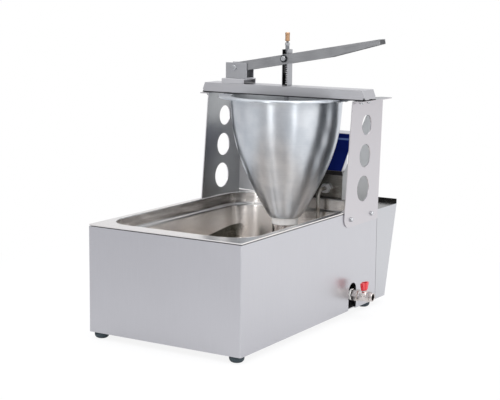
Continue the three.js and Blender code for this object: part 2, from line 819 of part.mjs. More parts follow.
// The right bracket; the left one is its mirror image.
function bracket() {
  const front = (z) => bracketLine(bracketFrontY, bracketFrontLean, z);
  const rear = (z) => bracketLine(bracketRearY, bracketRearLean, z);
  const toe = new THREE.Shape();
  toe.moveTo(rear(bracketBottom), bracketBottom);
  toe.lineTo(rear(bracketTop), bracketTop);
  toe.lineTo(front(bracketTop), bracketTop);
  toe.lineTo(front(bracketBottom + bracketToe), bracketBottom + bracketToe);
  const toeY = front(bracketBottom) + bracketToe;
  toe.absarc(toeY, bracketBottom + bracketToe, bracketToe, Math.PI, 1.5 * Math.PI);
  const plate = prism("x", toe, bracketInner, bracketOuter);

  const flangeOut = bracketInner + bracketFlange;
  const flangeY = [front(bracketTop), rear(bracketTop)];
  const flange = block(bracketInner, flangeOut, ...flangeY, bracketTop - bracketSheet, bracketTop);

  // The stiffening wing is folded inwards along the leaning rear edge.
  const wingBottom = deckTop + gussetClearance;
  const wing = prism("y", outline([
    [bracketOuter, wingBottom],
    [bracketOuter, bracketTop],
    [bracketOuter - gussetReachTop, bracketTop],
    [bracketInner - gussetReach, wingBottom + gussetStraight],
    [bracketInner - gussetReach, wingBottom],
  ]), 0, bracketSheet);
  const lean = bracketRearLean / (bracketTop - bracketBottom);
  const shear = new THREE.Matrix4().makeShear(0, 0, 0, 0, 0, lean).setPosition(0, rear(0) - bracketSheet, 0);
  const leaning = wing.transform(shear.toArray());

  const through = [bracketInner - cutMargin, bracketOuter + cutMargin];
  const holes = bracketHoleRises.map((rise, i) => {
    const z = deckTop + rise;
    const y = (front(z) + rear(z)) / 2;
    return rod("x", bracketHoleDiameters[i] / 2, ...through, y, z, largeSides);
  });
  const sideHoles = bracketBoltYs.map((y) => (
    rod("x", bracketScrewRadius + seatGap, ...through, y, bracketBoltZ, screwSides)
  ));
  const flangeBottom = bracketTop - bracketSheet;
  const topHoles = barBoltYs.map((y) => (
    rod("z", screwRadius + seatGap, flangeBottom - cutMargin, bracketTop + cutMargin, barBoltX, y, screwSides)
  ));
  return cut(join(plate, flange, leaning), ...holes, ...sideHoles, ...topHoles);
}

function buildBridge() {
  const right = bracket();
  add("right_bracket", right, satin);
  add("left_bracket", right.mirror([1, 0, 0]), satin);
  for (const [side, sign] of Object.entries({ left: -1, right: 1 })) {
    bracketBoltYs.forEach((y, i) => {
      const head = sign * bracketOuter;
      const nut = sign * (sideX - bodySheet);
      const body = screw("x", y, bracketBoltZ, head, nut, bracketScrewRadius, bracketScrewFlats);
      add(`${side}_bracket_bolt_${i + 1}`, body, zinc);
    });
    barBoltYs.forEach((y, i) => {
      const body = screw("z", sign * barBoltX, y, barFloor, bracketTop - bracketSheet);
      add(`${side}_bar_bolt_${i + 1}`, body, zinc);
    });
  }

  // A folded channel, open below, with sloping ends and returns along its two lower edges.
  const [y0, y1] = [hopperY - barDepth / 2, hopperY + barDepth / 2];
  const section = (skin, z0, z1) => {
    const half = (z) => barHalfBottom + ((barHalfTop - barHalfBottom) * (z - barBottom)) / barHeight - skin;
    const ends = outline([[-half(z0), z0], [half(z0), z0], [half(z1), z1], [-half(z1), z1]]);
    return prism("y", ends, y0 + skin, y1 - skin);
  };
  const returnInner = [y0 + barReturn, y1 - barReturn];
  const under = barBottom - cutMargin;
  const mouth = block(-barHalfBottom, barHalfBottom, ...returnInner, under, barFloor + cutMargin);
  const notches = [-1, 1].flatMap((end) => [y0, y1].map((y) => {
    const x = end * barHalfBottom;
    const half = barNotch / 2;
    return block(x - barNotch, x + barNotch, y - half, y + half, under, barBottom + barNotch);
  }));
  const throughTop = [barTop - barSheet - cutMargin, barTop + cutMargin];
  const rodHole = rod("z", rodNeckRadius + seatGap, ...throughTop, 0, hopperY);
  const slot = roundedRectangle(
    barSlotX - barSlotLength / 2,
    barSlotX + barSlotLength / 2,
    hopperY - barSlotWidth / 2,
    hopperY + barSlotWidth / 2,
    barSlotWidth / 2 - weld,
  );
  const slotHole = prism("z", slot, ...throughTop, screwSides);
  const screwHoles = [-1, 1].flatMap((side) => [barBoltX, hopperBoltX].flatMap((x) => barBoltYs.map((y) => (
    rod("z", screwRadius + seatGap, under, barFloor + cutMargin, side * x, y, screwSides)
  ))));
  const bar = cut(
    section(0, barBottom, barTop),
    section(barSheet, barFloor, barTop - barSheet),
    mouth,
    rodHole,
    slotHole,
    ...notches,
    ...screwHoles,
  );
  add("bridge_bar", bar, satin);
}

// ---------------------------------------------------------------- hopper and nozzle

// The hopper's outer line: a cone that turns upright towards its mouth. The belly and the shoulder pull it.
function hopperLine() {
  const top = hopperTop - hopperSheet;
  const height = top - hopperFloor;
  const curve = new THREE.CubicBezierCurve(
    new THREE.Vector2(throatRadius, hopperFloor),
    new THREE.Vector2(bellyRadius, hopperFloor + height * bellyShare),
    new THREE.Vector2(shoulderRadius, hopperFloor + height * shoulderShare),
    new THREE.Vector2(mouthRadius, top),
  );
  return curve.getPoints(hopperSteps);
}

function buildHopper() {
  const outside = hopperLine();
  const inside = outside.map((point, i) => {
    const before = outside[Math.max(i - 1, 0)];
    const after = outside[Math.min(i + 1, outside.length - 1)];
    const along = after.clone().sub(before).normalize();
    return new THREE.Vector2(point.x - along.y * hopperSheet, point.y + along.x * hopperSheet);
  });
  const floorTop = hopperFloor + hopperSheet;
  inside[0].set(throatRadius - hopperSheet, floorTop);
  inside[inside.length - 1].set(mouthRadius - hopperSheet, hopperTop);
  const flangeBottom = hopperTop - hopperSheet;
  const profile = [
    [nozzleNeckRadius + seatGap, hopperFloor],
    ...outside.map(({ x, y }) => [x, y]),
    [rimRadius - hopperSheet, flangeBottom],
    [rimRadius - hopperSheet, hopperTop - rimDrop],
    [rimRadius, hopperTop - rimDrop],
    [rimRadius, hopperTop],
    ...inside.reverse().map(({ x, y }) => [x, y]),
    [nozzleNeckRadius + seatGap, floorTop],
    [nozzleNeckRadius + seatGap, hopperFloor],
  ];
  const bowl = turned(profile, 0, hopperY, smoothSides);
  const throughRim = [flangeBottom - cutMargin, hopperTop + cutMargin];
  const holes = [-1, 1].flatMap((side) => barBoltYs.map((y) => (
    rod("z", screwRadius + seatGap, ...throughRim, side * hopperBoltX, y, screwSides)
  )));
  add("hopper", cut(bowl, ...holes), spun);
  for (const [side, sign] of Object.entries({ left: -1, right: 1 })) {
    barBoltYs.forEach((y, i) => {
      add(`${side}_hopper_bolt_${i + 1}`, screw("z", sign * hopperBoltX, y, barFloor, flangeBottom), zinc);
    });
  }

  const collarTop = hopperFloor - seatGap;
  const collarBottom = collarTop - collarHeight;
  const collarBore = [collarBottom - cutMargin, collarTop + cutMargin];
  const collar = cut(
    rod("z", collarRadius, collarBottom, collarTop, 0, hopperY, largeSides),
    rod("z", nozzleNeckRadius + seatGap, ...collarBore, 0, hopperY, largeSides),
  );
  add("nozzle_collar", collar, nylon);

  // The nozzle's neck goes up through the collar and hooks over the hopper's floor.
  const shoulder = collarBottom - seatGap;
  const nozzleBottom = shoulder - nozzleHeight;
  const lipBottom = floorTop + seatGap;
  const nozzle = join(
    rod("z", nozzleRadius, nozzleBottom, shoulder, 0, hopperY, largeSides),
    rod("z", nozzleNeckRadius, shoulder - cutMargin, lipBottom + cutMargin, 0, hopperY, largeSides),
    rod("z", collarRadius, lipBottom, lipBottom + nozzleLip, 0, hopperY, largeSides),
  );
  const lipTop = lipBottom + nozzleLip;
  const bore = rod("z", nozzleBore, nozzleBottom - cutMargin, lipTop + cutMargin, 0, hopperY, largeSides);
  add("nozzle_cylinder", cut(nozzle, bore), steel);

  // A disc on spokes splits the stream, so that a ring drops from the mouth.
  const spokes = Array.from({ length: formerSpokes }, (_, i) => (
    block(0, nozzleBore - seatGap * 2, -formerSpokeWidth / 2, formerSpokeWidth / 2, 0, formerHeight)
      .rotate([0, 0, (360 * i) / formerSpokes])
  ));
  const former = join(rod("z", formerRadius, 0, formerHeight, 0, 0), ...spokes);
  add("ring_former", former.translate([0, hopperY, nozzleBottom]), steel);
  return { pistonBottom: lipTop + pistonLift };
}

// ---------------------------------------------------------------- plunger and guide post

const followerRest = {
  x: pivotX + followerX * Math.cos(leverRest) - followerZ * Math.sin(leverRest),
  z: pivotZ + followerX * Math.sin(leverRest) + followerZ * Math.cos(leverRest),
};

function buildPlunger({ pistonBottom }) {
  const shoulder = barTop - barSheet - seatGap;
  const crossBottom = followerRest.z - crossheadHeight / 2;
  const crossTop = crossBottom + crossheadHeight;
  const rodBottom = pistonBottom + pistonHeight / 2;
  const plungerRod = join(
    rod("z", rodRadius, rodBottom, shoulder, 0, hopperY),
    rod("z", rodNeckRadius, shoulder - cutMargin, crossBottom + crossheadSocket - seatGap, 0, hopperY),
  );
  add("plunger_rod", plungerRod, polished);

  const piston = cut(
    rod("z", nozzleBore - pistonClearance, pistonBottom, pistonBottom + pistonHeight, 0, hopperY, largeSides),
    rod("z", rodRadius + seatGap, rodBottom - seatGap, pistonBottom + pistonHeight + cutMargin, 0, hopperY),
  );
  add("portion_piston", piston, nylon);

  const postFront = hopperY - postDepth / 2;
  const postBack = hopperY + postDepth / 2;
  const crossBack = postBack - postSheet - seatGap;
  const slotHalf = followerRadius + followerPlay;
  const crossSlot = prism("y", roundedRectangle(
    -slotHalf - followerSweep,
    slotHalf + followerSweep,
    followerRest.z - slotHalf,
    followerRest.z + slotHalf,
    slotHalf - weld,
  ), postFront - cutMargin, postBack + cutMargin, screwSides);
  const studTop = crossTop + studLength;
  const crosshead = cut(
    join(
      block(-crossheadWidth / 2, crossheadWidth / 2, postFront + cutMargin, crossBack, crossBottom, crossTop),
      rod("z", studRadius, crossTop - cutMargin, studTop, 0, hopperY),
      rod("z", threadRadius, studTop - cutMargin, studTop + threadLength, 0, hopperY, screwSides),
    ),
    rod("z", rodNeckRadius + seatGap, crossBottom - cutMargin, crossBottom + crossheadSocket, 0, hopperY),
    crossSlot,
  );
  add("crosshead", crosshead, darkSteel);

  // Flat outer turns at both ends would hide inside the post, so the coil runs evenly from seat to seat.
  const coilBottom = barPlate + springWire / 2;
  const coilTop = crossBottom - seatGap - springWire / 2;
  const coilRadius = springRadius - springWire / 2;
  class Coil extends THREE.Curve {
    getPoint(t) {
      const angle = 2 * Math.PI * springTurns * t;
      const z = coilBottom + (coilTop - coilBottom) * t;
      return new THREE.Vector3(coilRadius * Math.cos(angle), hopperY + coilRadius * Math.sin(angle), z);
    }
  }
  const wire = { steps: springTurns * coilSteps, extrudePath: new Coil(), curveSegments: wireSides / 2 };
  add("return_spring", solid(new THREE.ExtrudeGeometry(circle(0, 0, springWire / 2), wire)), darkSteel);

  const nutBottom = studTop + seatGap;
  const nutTop = nutBottom + jamNutHeight;
  const threadBore = threadRadius + seatGap;
  const jamNut = cut(
    hexRod("z", jamNutFlats, nutBottom, nutTop, 0, hopperY),
    rod("z", threadBore, nutBottom - cutMargin, nutTop + cutMargin, 0, hopperY, screwSides),
  );
  add("jam_nut", jamNut, zinc);
  const knobBottom = nutTop + knobLift;
  const knobTop = knobBottom + knobHeight;
  const bevel = knobRadius / 5;
  const knob = cut(
    turned([
      [0, knobBottom],
      [knobRadius - bevel, knobBottom],
      [knobRadius, knobBottom + bevel],
      [knobRadius, knobTop - bevel],
      [knobRadius - bevel, knobTop],
      [0, knobTop],
    ], 0, hopperY),
    rod("z", threadBore, knobBottom - cutMargin, studTop + threadLength + seatGap, 0, hopperY, screwSides),
  );
  add("portion_knob", knob, brass);

  const postTop = barPlate + postHeight;
  const half = postWidth / 2;
  const channel = prism("z", outline([
    [-half, postFront],
    [postSheet - half, postFront],
    [postSheet - half, postBack - postSheet],
    [half - postSheet, postBack - postSheet],
    [half - postSheet, postFront],
    [half, postFront],
    [half, postBack],
    [-half, postBack],
  ]), barPlate, postTop);
  const travel = prism("y", roundedRectangle(
    -slotHalf - followerSweep,
    slotHalf + followerSweep,
    followerRest.z - slotHalf - leverStroke - cutMargin,
    followerRest.z + slotHalf + cutMargin,
    slotHalf,
  ), postBack - postSheet - cutMargin, postBack + cutMargin, screwSides);
  add("guide_post", cut(channel, travel), satin);
}

// ---------------------------------------------------------------- clevis and lever

function buildClevis() {
  const [y0, y1] = [hopperY - barDepth / 2, hopperY + barDepth / 2];
  const saddle = cut(
    block(pivotX - saddleTail, pivotX + saddleNose, y0, y1, barPlate, saddleTop),
    block(
      pivotX - saddleTail - cutMargin,
      pivotX + saddleNose + cutMargin,
      y0 + saddleSheet,
      y1 - saddleSheet,
      barPlate - cutMargin,
      saddleTop - saddleSheet,
    ),
  );
  add("clevis_saddle", saddle, satin);

  const inner = leverWidth / 2 + clevisSideGap;
  const outer = inner + clevisSheet;
  const pivotHole = pivotRadius + seatGap;
  const clevisTop = clevisFloor + clevisHeight;
  const [left, right] = [pivotX - clevisTail, pivotX + clevisNose];
  const clevis = cut(
    block(left, right, hopperY - outer, hopperY + outer, clevisFloor, clevisTop),
    block(
      left - cutMargin,
      right + cutMargin,
      hopperY - inner,
      hopperY + inner,
      clevisFloor + clevisSheet,
      clevisTop + cutMargin,
    ),
    rod("y", pivotHole, hopperY - outer - cutMargin, hopperY + outer + cutMargin, pivotX, pivotZ),
  );
  add("clevis", clevis, satin);
  const pin = screw("y", pivotX, pivotZ, hopperY - outer, hopperY + outer, pivotRadius, pivotScrewFlats);
  add("pivot_bolt", pin, zinc);
}

// The lever is drawn along its own x from the pivot, then tipped up to its rest angle.
function buildLever() {
  const lever = new THREE.Group();
  lever.position.set(pivotX, hopperY, pivotZ);
  lever.rotation.y = -leverRest;
  machine.add(lever);

  const half = leverWidth / 2;
  const tipBottom = leverAbove - leverTipDepth;
  const profile = (skin) => outline([
    [-leverTail - skin, -leverBelow - skin],
    [leverKink, -leverBelow - skin],
    [leverLength + skin, tipBottom - skin],
    [leverLength + skin, leverAbove - (skin ? leverSheet : 0)],
    [-leverTail - skin, leverAbove - (skin ? leverSheet : 0)],
  ]);
  const shell = cut(
    prism("y", profile(0), -half, half),
    prism("y", profile(cutMargin), leverSheet - half, half - leverSheet),
  );
  const opening = block(
    followerX - webOpening / 2,
    followerX + webOpening / 2,
    leverSheet - half,
    half - leverSheet,
    0,
    leverAbove + cutMargin,
  );
  const arm = cut(
    shell,
    opening,
    rod("y", pivotRadius + seatGap, -half - cutMargin, half + cutMargin, 0, 0),
    rod("y", followerRadius + seatGap, -half - cutMargin, half + cutMargin, followerX, followerZ),
  );
  add("lever", arm, darkSteel, lever);

  const plugHalf = half - leverSheet - seatGap;
  const plugTop = leverAbove - leverSheet - seatGap;
  const plugStart = leverLength - leverTipPlug;
  const plugSlope = (tipBottom + leverBelow) / (leverLength - leverKink);
  const plug = prism("y", outline([
    [plugStart, tipBottom - plugSlope * leverTipPlug],
    [leverLength, tipBottom],
    [leverLength, plugTop],
    [plugStart, plugTop],
  ]), -plugHalf, plugHalf);
  add("lever_end_plug", plug, blackPlastic, lever);

  const washerFace = -half - seatGap - followerWasher;
  const pin = join(
    screw("y", followerX, followerZ, washerFace, half, followerRadius, followerFlats),
    rod("y", followerWasherRadius, washerFace - seatGap, washerFace + followerWasher, followerX, followerZ),
  );
  add("follower_bolt", pin, zinc, lever);
}

// ---------------------------------------------------------------- heating head

const glandZ = headBottom + glandRise;
const slopeAngle = Math.atan2(hoodSlopeRun, hoodSlopeRise);
const slopeFoot = { y: headFront - hoodApronLean, z: headTop + seatGap + hoodApronRise };

// The console's front line in (Y, Z), from the slope's foot to the top of its upright brow.
function consoleLine() {
  const brow = [slopeFoot.y + hoodSlopeRun, slopeFoot.z + hoodSlopeRise];
  return [[slopeFoot.y, slopeFoot.z], brow, [brow[0], brow[1] + hoodBrowRise]];
}

// Controls stand on the middle of the slope: their +Z leaves the panel and their +Y runs up it.
function consoleFrame(x) {
  const frame = new THREE.Group();
  frame.position.set(x, slopeFoot.y + hoodSlopeRun / 2, slopeFoot.z + hoodSlopeRise / 2);
  frame.rotation.x = Math.PI / 2 - slopeAngle;
  frame.updateMatrix();
  return frame;
}

function buildHead() {
  const back = headFront + headDepth;
  const throughFront = [headFront - cutMargin, headFront + headSheet + cutMargin];
  const glandHole = (x) => rod("y", heaterRadius + seatGap, ...throughFront, x, glandZ);
  const box = cut(
    block(-headHalf, headHalf, headFront, back, headBottom, headTop),
    block(
      headSheet - headHalf,
      headHalf - headSheet,
      headFront + headSheet,
      back - headSheet,
      headBottom - cutMargin,
      headTop - headSheet,
    ),
    glandHole(-glandX),
    glandHole(glandX),
    rod("y", cableGlandBarrel, back - headSheet - cutMargin, back + cutMargin, cableGlandX, glandZ),
  );
  add("head_box", box, polished);

  const labelLine = consoleLine();
  const panelShift = labelSheet + seatGap;
  const top = labelLine[2];
  const hoodLine = [
    [headFront, headTop + seatGap],
    ...labelLine,
    [top[0] + hoodTopRun, top[1]],
    [top[0] + hoodTopRun, top[1] - hoodTailDrop],
  ];
  const spindleHole = (x, radius) => {
    const drill = new THREE.CylinderGeometry(radius, radius, panelDrill, pipeSides).rotateX(Math.PI / 2);
    return solid(drill.applyMatrix4(consoleFrame(x).matrix));
  };
  const spindleCut = spindleHole(dialX, spindleRadius + seatGap);
  const rockerHole = new THREE.BoxGeometry(rockerWidth - rockerFrame, rockerLength - rockerFrame, panelDrill);
  const rockerCut = solid(rockerHole.applyMatrix4(consoleFrame(rockerX).matrix));
  const lampCuts = lampX.map((x) => spindleHole(x, lampStem + seatGap));
  const controlCuts = [spindleCut, rockerCut, ...lampCuts];
  const hood = prism("x", sheetOutline([...hoodLine].reverse(), hoodSheet), -headHalf, headHalf);
  add("console_hood", cut(hood, ...controlCuts), steel);

  const [foot, bend, rim] = labelLine;
  const raised = [
    [foot[0] - panelShift * Math.cos(slopeAngle), foot[1] + panelShift * Math.sin(slopeAngle)],
    [bend[0] - panelShift, bend[1] + panelShift * Math.tan(slopeAngle / 2)],
    [rim[0] - panelShift, rim[1] - labelInset],
  ];
  const panelHalf = headHalf - labelInset;
  const plate = prism("x", sheetOutline(raised.reverse(), labelSheet), -panelHalf, panelHalf);
  add("console_panel", cut(plate, ...controlCuts), bluePanel);

  const switchBack = top[0] + hoodTopRun - hoodSheet - switchBoxTailGap;
  const switchTop = top[1] - hoodSheet - seatGap;
  const switchFront = switchBack - switchBoxDepth;
  const switchBox = cut(
    block(-switchBoxHalf, switchBoxHalf, switchFront, switchBack, headTop + seatGap, switchTop),
    block(
      headSheet - switchBoxHalf,
      switchBoxHalf - headSheet,
      switchFront - cutMargin,
      switchBack - headSheet,
      headTop + seatGap + headSheet,
      switchTop - headSheet,
    ),
  );
  add("switch_box", switchBox, steel);

  buildControls(panelShift);

  const hexes = { left: -glandX, right: glandX };
  Object.entries(hexes).forEach(([side, x]) => {
    const gland = cut(
      hexRod("y", glandFlats, headFront - seatGap - glandHeight, headFront - seatGap, x, glandZ),
      rod("y", heaterRadius + seatGap, headFront - glandHeight - cutMargin, headFront + cutMargin, x, glandZ),
    );
    add(`element_gland_${side}`, gland, zinc);
  });
  const cableGland = cut(
    join(
      hexRod("y", cableGlandRadius * 2, back + seatGap, back + cableGlandLength / 2, cableGlandX, glandZ),
      rod("y", cableGlandBarrel, back + seatGap, back + cableGlandLength, cableGlandX, glandZ),
    ),
    rod("y", cableGlandBore, back - cutMargin, back + cableGlandLength + cutMargin, cableGlandX, glandZ),
  );
  add("cable_gland", cableGland, blackPlastic);
}

function buildControls(panelShift) {
  const face = panelShift + seatGap;
  const dialFrame = consoleFrame(dialX);
  machine.add(dialFrame);
  const dialTop = face + dialHeight;
  const dialMark = [dialGripRadius / 2, dialGripRadius - cutMargin];
  const dial = cut(
    join(
      turned([
        [0, face],
        [dialRadius, face],
        [dialRadius, face + dialSkirt],
        [dialGripRadius, face + dialShoulder],
        [dialGripRadius, dialTop - dialLine],
        [dialGripRadius - dialLine, dialTop],
        [0, dialTop],
      ], 0, 0, largeSides),
      rod("z", spindleRadius, -spindleDepth, face + cutMargin, 0, 0),
    ),
    block(-dialLine / 2, dialLine / 2, ...dialMark, dialTop - cutMargin, dialTop + cutMargin),
  );
  add("thermostat_dial", dial, blackPlastic, dialFrame);

  const names = ["power_lamp", "heating_lamp"];
  const lenses = [greenLens, amberLens];
  lampX.forEach((x, i) => {
    const frame = consoleFrame(x);
    machine.add(frame);
    const lamp = join(
      turned([
        [0, face],
        [lampRadius, face],
        [lampRadius, face + lampHeight / 2],
        [lampCrownRadius, face + lampHeight],
        [0, face + lampHeight],
      ], 0, 0, pipeSides),
      rod("z", lampStem, -lampStemDepth, face + cutMargin, 0, 0, pipeSides),
    );
    add(names[i], lamp, lenses[i], frame);
  });

  // The rocker tips about its own x axis inside a bezel that stands on the panel.
  const rockerGroup = consoleFrame(rockerX);
  machine.add(rockerGroup);
  const slab = (inset, from, to) => block(
    inset - rockerWidth / 2,
    rockerWidth / 2 - inset,
    inset - rockerLength / 2,
    rockerLength / 2 - inset,
    from,
    to,
  );
  const shellInset = rockerFrame / 2 + seatGap;
  const bezel = cut(
    join(slab(0, face, face + rockerRise), slab(shellInset, -rockerDepth, face + cutMargin)),
    slab(shellInset + rockerWall, cutMargin - rockerDepth, face + rockerRise + cutMargin),
  );
  add("switch_bezel", bezel, blackPlastic, rockerGroup);
  const keyHalfX = rockerWidth / 2 - shellInset - rockerWall - rockerPlayX;
  const keyHalfY = rockerLength / 2 - shellInset - rockerWall - rockerPlayY;
  const lift = Math.tan(rockerTilt) * keyHalfY;
  const middle = face + rockerRise;
  const key = prism("x", outline([
    [-keyHalfY, middle - rockerRise],
    [keyHalfY, middle - rockerRise],
    [keyHalfY, middle + lift],
    [0, middle],
    [-keyHalfY, middle],
  ]), -keyHalfX, keyHalfX);
  add("rocker_switch", key, redPlastic, rockerGroup);
}

function buildHeater() {
  const z = wellFloor + heaterFloorGap;
  const [innerX, outerX] = heaterLegs;
  const tubeEnd = headFront + headSheet + glandHeight;
  const half = (s) => [
    [s * glandX, tubeEnd, glandZ],
    [s * glandX, heaterDropY, glandZ],
    [s * glandX, heaterDropY, z],
    [s * glandX, heaterBackY + heaterSplay, z],
    [s * outerX, heaterBackY, z],
    [s * outerX, heaterFrontY, z],
    [s * innerX, heaterFrontY, z],
    [s * innerX, heaterBackY - heaterNose, z],
  ];
  const corners = pointsOf(...half(1), ...half(-1).reverse());
  add("heating_element", tube(corners, heaterRadius, heaterBend, screwSides), darkSteel);
}

buildCasing();
buildTank();
buildDrain();
buildRearHousing();
buildBridge();
buildPlunger(buildHopper());
buildClevis();
buildLever();
buildHead();
buildHeater();

// The origin is under the middle of the whole machine, on the surface that it stands on.
machine.updateMatrixWorld(true);
const extent = new THREE.Box3().setFromObject(machine, true);
const middle = extent.getCenter(new THREE.Vector3());
machine.position.set(-middle.x, -middle.y, -extent.min.z);

export default machine;
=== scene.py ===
import math

import bmesh
import bpy
from mathutils import Matrix, Vector


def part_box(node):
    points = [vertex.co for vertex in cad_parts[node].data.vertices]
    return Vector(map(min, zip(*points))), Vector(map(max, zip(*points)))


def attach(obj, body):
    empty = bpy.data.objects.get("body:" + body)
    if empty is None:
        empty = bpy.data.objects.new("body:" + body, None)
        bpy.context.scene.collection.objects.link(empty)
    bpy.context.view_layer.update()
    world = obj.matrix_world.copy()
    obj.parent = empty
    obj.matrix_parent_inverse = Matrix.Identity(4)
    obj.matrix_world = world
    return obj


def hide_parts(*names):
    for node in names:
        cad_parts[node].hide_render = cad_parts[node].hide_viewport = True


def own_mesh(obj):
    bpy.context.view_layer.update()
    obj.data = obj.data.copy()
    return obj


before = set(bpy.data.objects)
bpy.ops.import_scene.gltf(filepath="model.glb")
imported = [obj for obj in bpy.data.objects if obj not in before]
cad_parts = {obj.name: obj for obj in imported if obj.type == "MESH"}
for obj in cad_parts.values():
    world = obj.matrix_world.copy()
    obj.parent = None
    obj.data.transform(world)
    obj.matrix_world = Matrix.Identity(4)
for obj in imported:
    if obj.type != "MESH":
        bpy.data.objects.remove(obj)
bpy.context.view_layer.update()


# ---- Camera
# A long lens stands to the right of the machine, a little above its tank, and looks slightly down. The
# colours go straight to the picture, with no film look.
lens = bpy.data.cameras.new("camera")
lens.lens, lens.sensor_width = 94.77, 36.0
camera = bpy.data.objects.new("camera", lens)
heading, tilt, roll = math.radians(31.36), math.radians(90 - 9.24), math.radians(0.58)
camera.matrix_world = (
    Matrix.Translation((1.3486, -2.2470, 0.6670))
    @ Matrix.Rotation(heading, 4, "Z")
    @ Matrix.Rotation(tilt, 4, "X")
    @ Matrix.Rotation(roll, 4, "Z")
)
bpy.context.scene.collection.objects.link(camera)
bpy.context.scene.camera = camera
bpy.context.scene.view_settings.view_transform = "Standard"


# ---- Paper floor
# The machine stands on a sweep of white paper. It is pure white away from the feet, with a faint shadow
# near them. Bare metal mirrors the paper, which is greyer towards the front left.
MM = 0.001


class Wire:
    """An output of a shader node. Sums on it, and node(), add the nodes that they need."""

    def __init__(self, tree, socket):
        self.tree, self.socket = tree, socket

    def node(self, kind, inputs, output=0, **settings):
        made = self.tree.nodes.new("ShaderNode" + kind)
        for name, value in settings.items():
            setattr(made, name, value)
        for key, value in inputs.items():
            if isinstance(value, Wire):
                self.tree.links.new(value.socket, made.inputs[key])
            else:
                made.inputs[key].default_value = value
        return Wire(self.tree, made.outputs[output])

    def twin(self, name):
        """Another output of the same node."""
        return Wire(self.tree, self.socket.node.outputs[name])

    def math(self, operation, *terms):
        return self.node("Math", dict(enumerate(terms)), operation=operation)

    def __add__(self, other):
        return self.math("ADD", self, other)

    def __sub__(self, other):
        return self.math("SUBTRACT", self, other)

    def __rsub__(self, other):
        return self.math("SUBTRACT", other, self)

    def __mul__(self, other):
        return self.math("MULTIPLY", self, other)

    __radd__, __rmul__ = __add__, __mul__

    def between(self, low, high, start=0.0, end=1.0):
        """A smooth step from start to end while this value goes from low to high."""
        keys = {"Value": self, "From Min": low, "From Max": high, "To Min": start, "To Max": end}
        return self.node("MapRange", keys, interpolation_type="SMOOTHSTEP")

    def mix(self, first, second):
        """The first colour where this value is 0 and the second where it is 1."""
        return self.node("Mix", {0: self, 6: first, 7: second}, output=2, data_type="RGBA")


def ink(code):
    """A colour written as six hex digits, for a shader."""
    parts = (int(code[i:i + 2], 16) / 255 for i in (0, 2, 4))
    return (*(p / 12.92 if p < 0.04045 else ((p + 0.055) / 1.055) ** 2.4 for p in parts), 1.0)


def start_finish(name, colour, **constants):
    """A material with fixed values on its shader, and a wire with the piece's own coordinates."""
    material = bpy.data.materials.new(name)
    material.use_nodes = True
    tree = material.node_tree
    shader = tree.nodes["Principled BSDF"]
    shader.inputs["Base Color"].default_value = ink(colour)
    for key, value in constants.items():
        shader.inputs[key.replace("_", " ").title().replace("Ior", "IOR")].default_value = value
    return material, Wire(tree, tree.nodes.new("ShaderNodeTexCoord").outputs["Object"])


def feed(material, **wires):
    """Links wires to the shader: colour, roughness, metallic, or bump as a height in millimetres."""
    tree = material.node_tree
    shader = tree.nodes["Principled BSDF"]
    for key, wire in wires.items():
        if key == "bump":
            wire = wire.node("Bump", {"Height": wire, "Strength": 1.0, "Distance": MM})
        socket = {"colour": "Base Color", "bump": "Normal"}.get(key, key.title())
        tree.links.new(wire.socket, shader.inputs[socket])


paper, spot = start_finish("white_paper", "f6f6f8", roughness=0.9)
tree = paper.node_tree
seen = spot.node("LightPath", {})
away = spot.node("VectorMath", {0: spot}, output=1, operation="LENGTH")
east = spot.node("SeparateXYZ", {0: spot})
leftwards = -0.52 * east - 0.85 * east.twin("Y")
mirrored = seen.twin("Is Glossy Ray")
share = seen.math("MAXIMUM", seen * away.between(0.35, 0.85, 0.86, 1.0), mirrored * 0.6)
tone = (mirrored * leftwards.between(-1.1, 1.6)).mix((1, 1, 1, 1), ink("a4a4a8"))
glow = spot.node("Emission", {"Color": tone, "Strength": 1.0})
lit = Wire(tree, tree.nodes["Principled BSDF"].outputs[0])
lifted = spot.node("MixShader", {0: share, 1: lit, 2: glow})
tree.links.new(lifted.socket, tree.nodes["Material Output"].inputs["Surface"])
sheet = bmesh.new()
bmesh.ops.create_grid(sheet, x_segments=1, y_segments=1, size=6.0)
floor_mesh = bpy.data.meshes.new("floor")
sheet.to_mesh(floor_mesh)
sheet.free()
floor_mesh.materials.append(paper)
floor = bpy.data.objects.new("floor", floor_mesh)
bpy.context.scene.collection.objects.link(floor)


# ---- Studio light
# Pale walls go round the machine, dimmer towards the front left, under a bright ceiling. Three soft boxes
# hang over it, and two upright strips stand in front. A camera sees the walls as plain white.
room = bpy.data.worlds.new("room")
bpy.context.scene.world = room
room.use_nodes = True
tree = room.node_tree
towards = Wire(tree, tree.nodes.new("ShaderNodeTexCoord").outputs["Generated"])
east = towards.node("SeparateXYZ", {0: towards})
leftwards = -0.52 * east - 0.85 * east.twin("Y")
walls = leftwards.between(-0.9, 0.9, 0.86, 0.52) * east.twin("Z").between(0.3, 0.9, 1.0, 1.9)
grey = towards.node("CombineColor", {0: walls, 1: walls, 2: walls * 1.02})
shade = towards.node("LightPath", {}).mix(grey, (1, 1, 1, 1))
tree.links.new(shade.socket, tree.nodes["Background"].inputs["Color"])

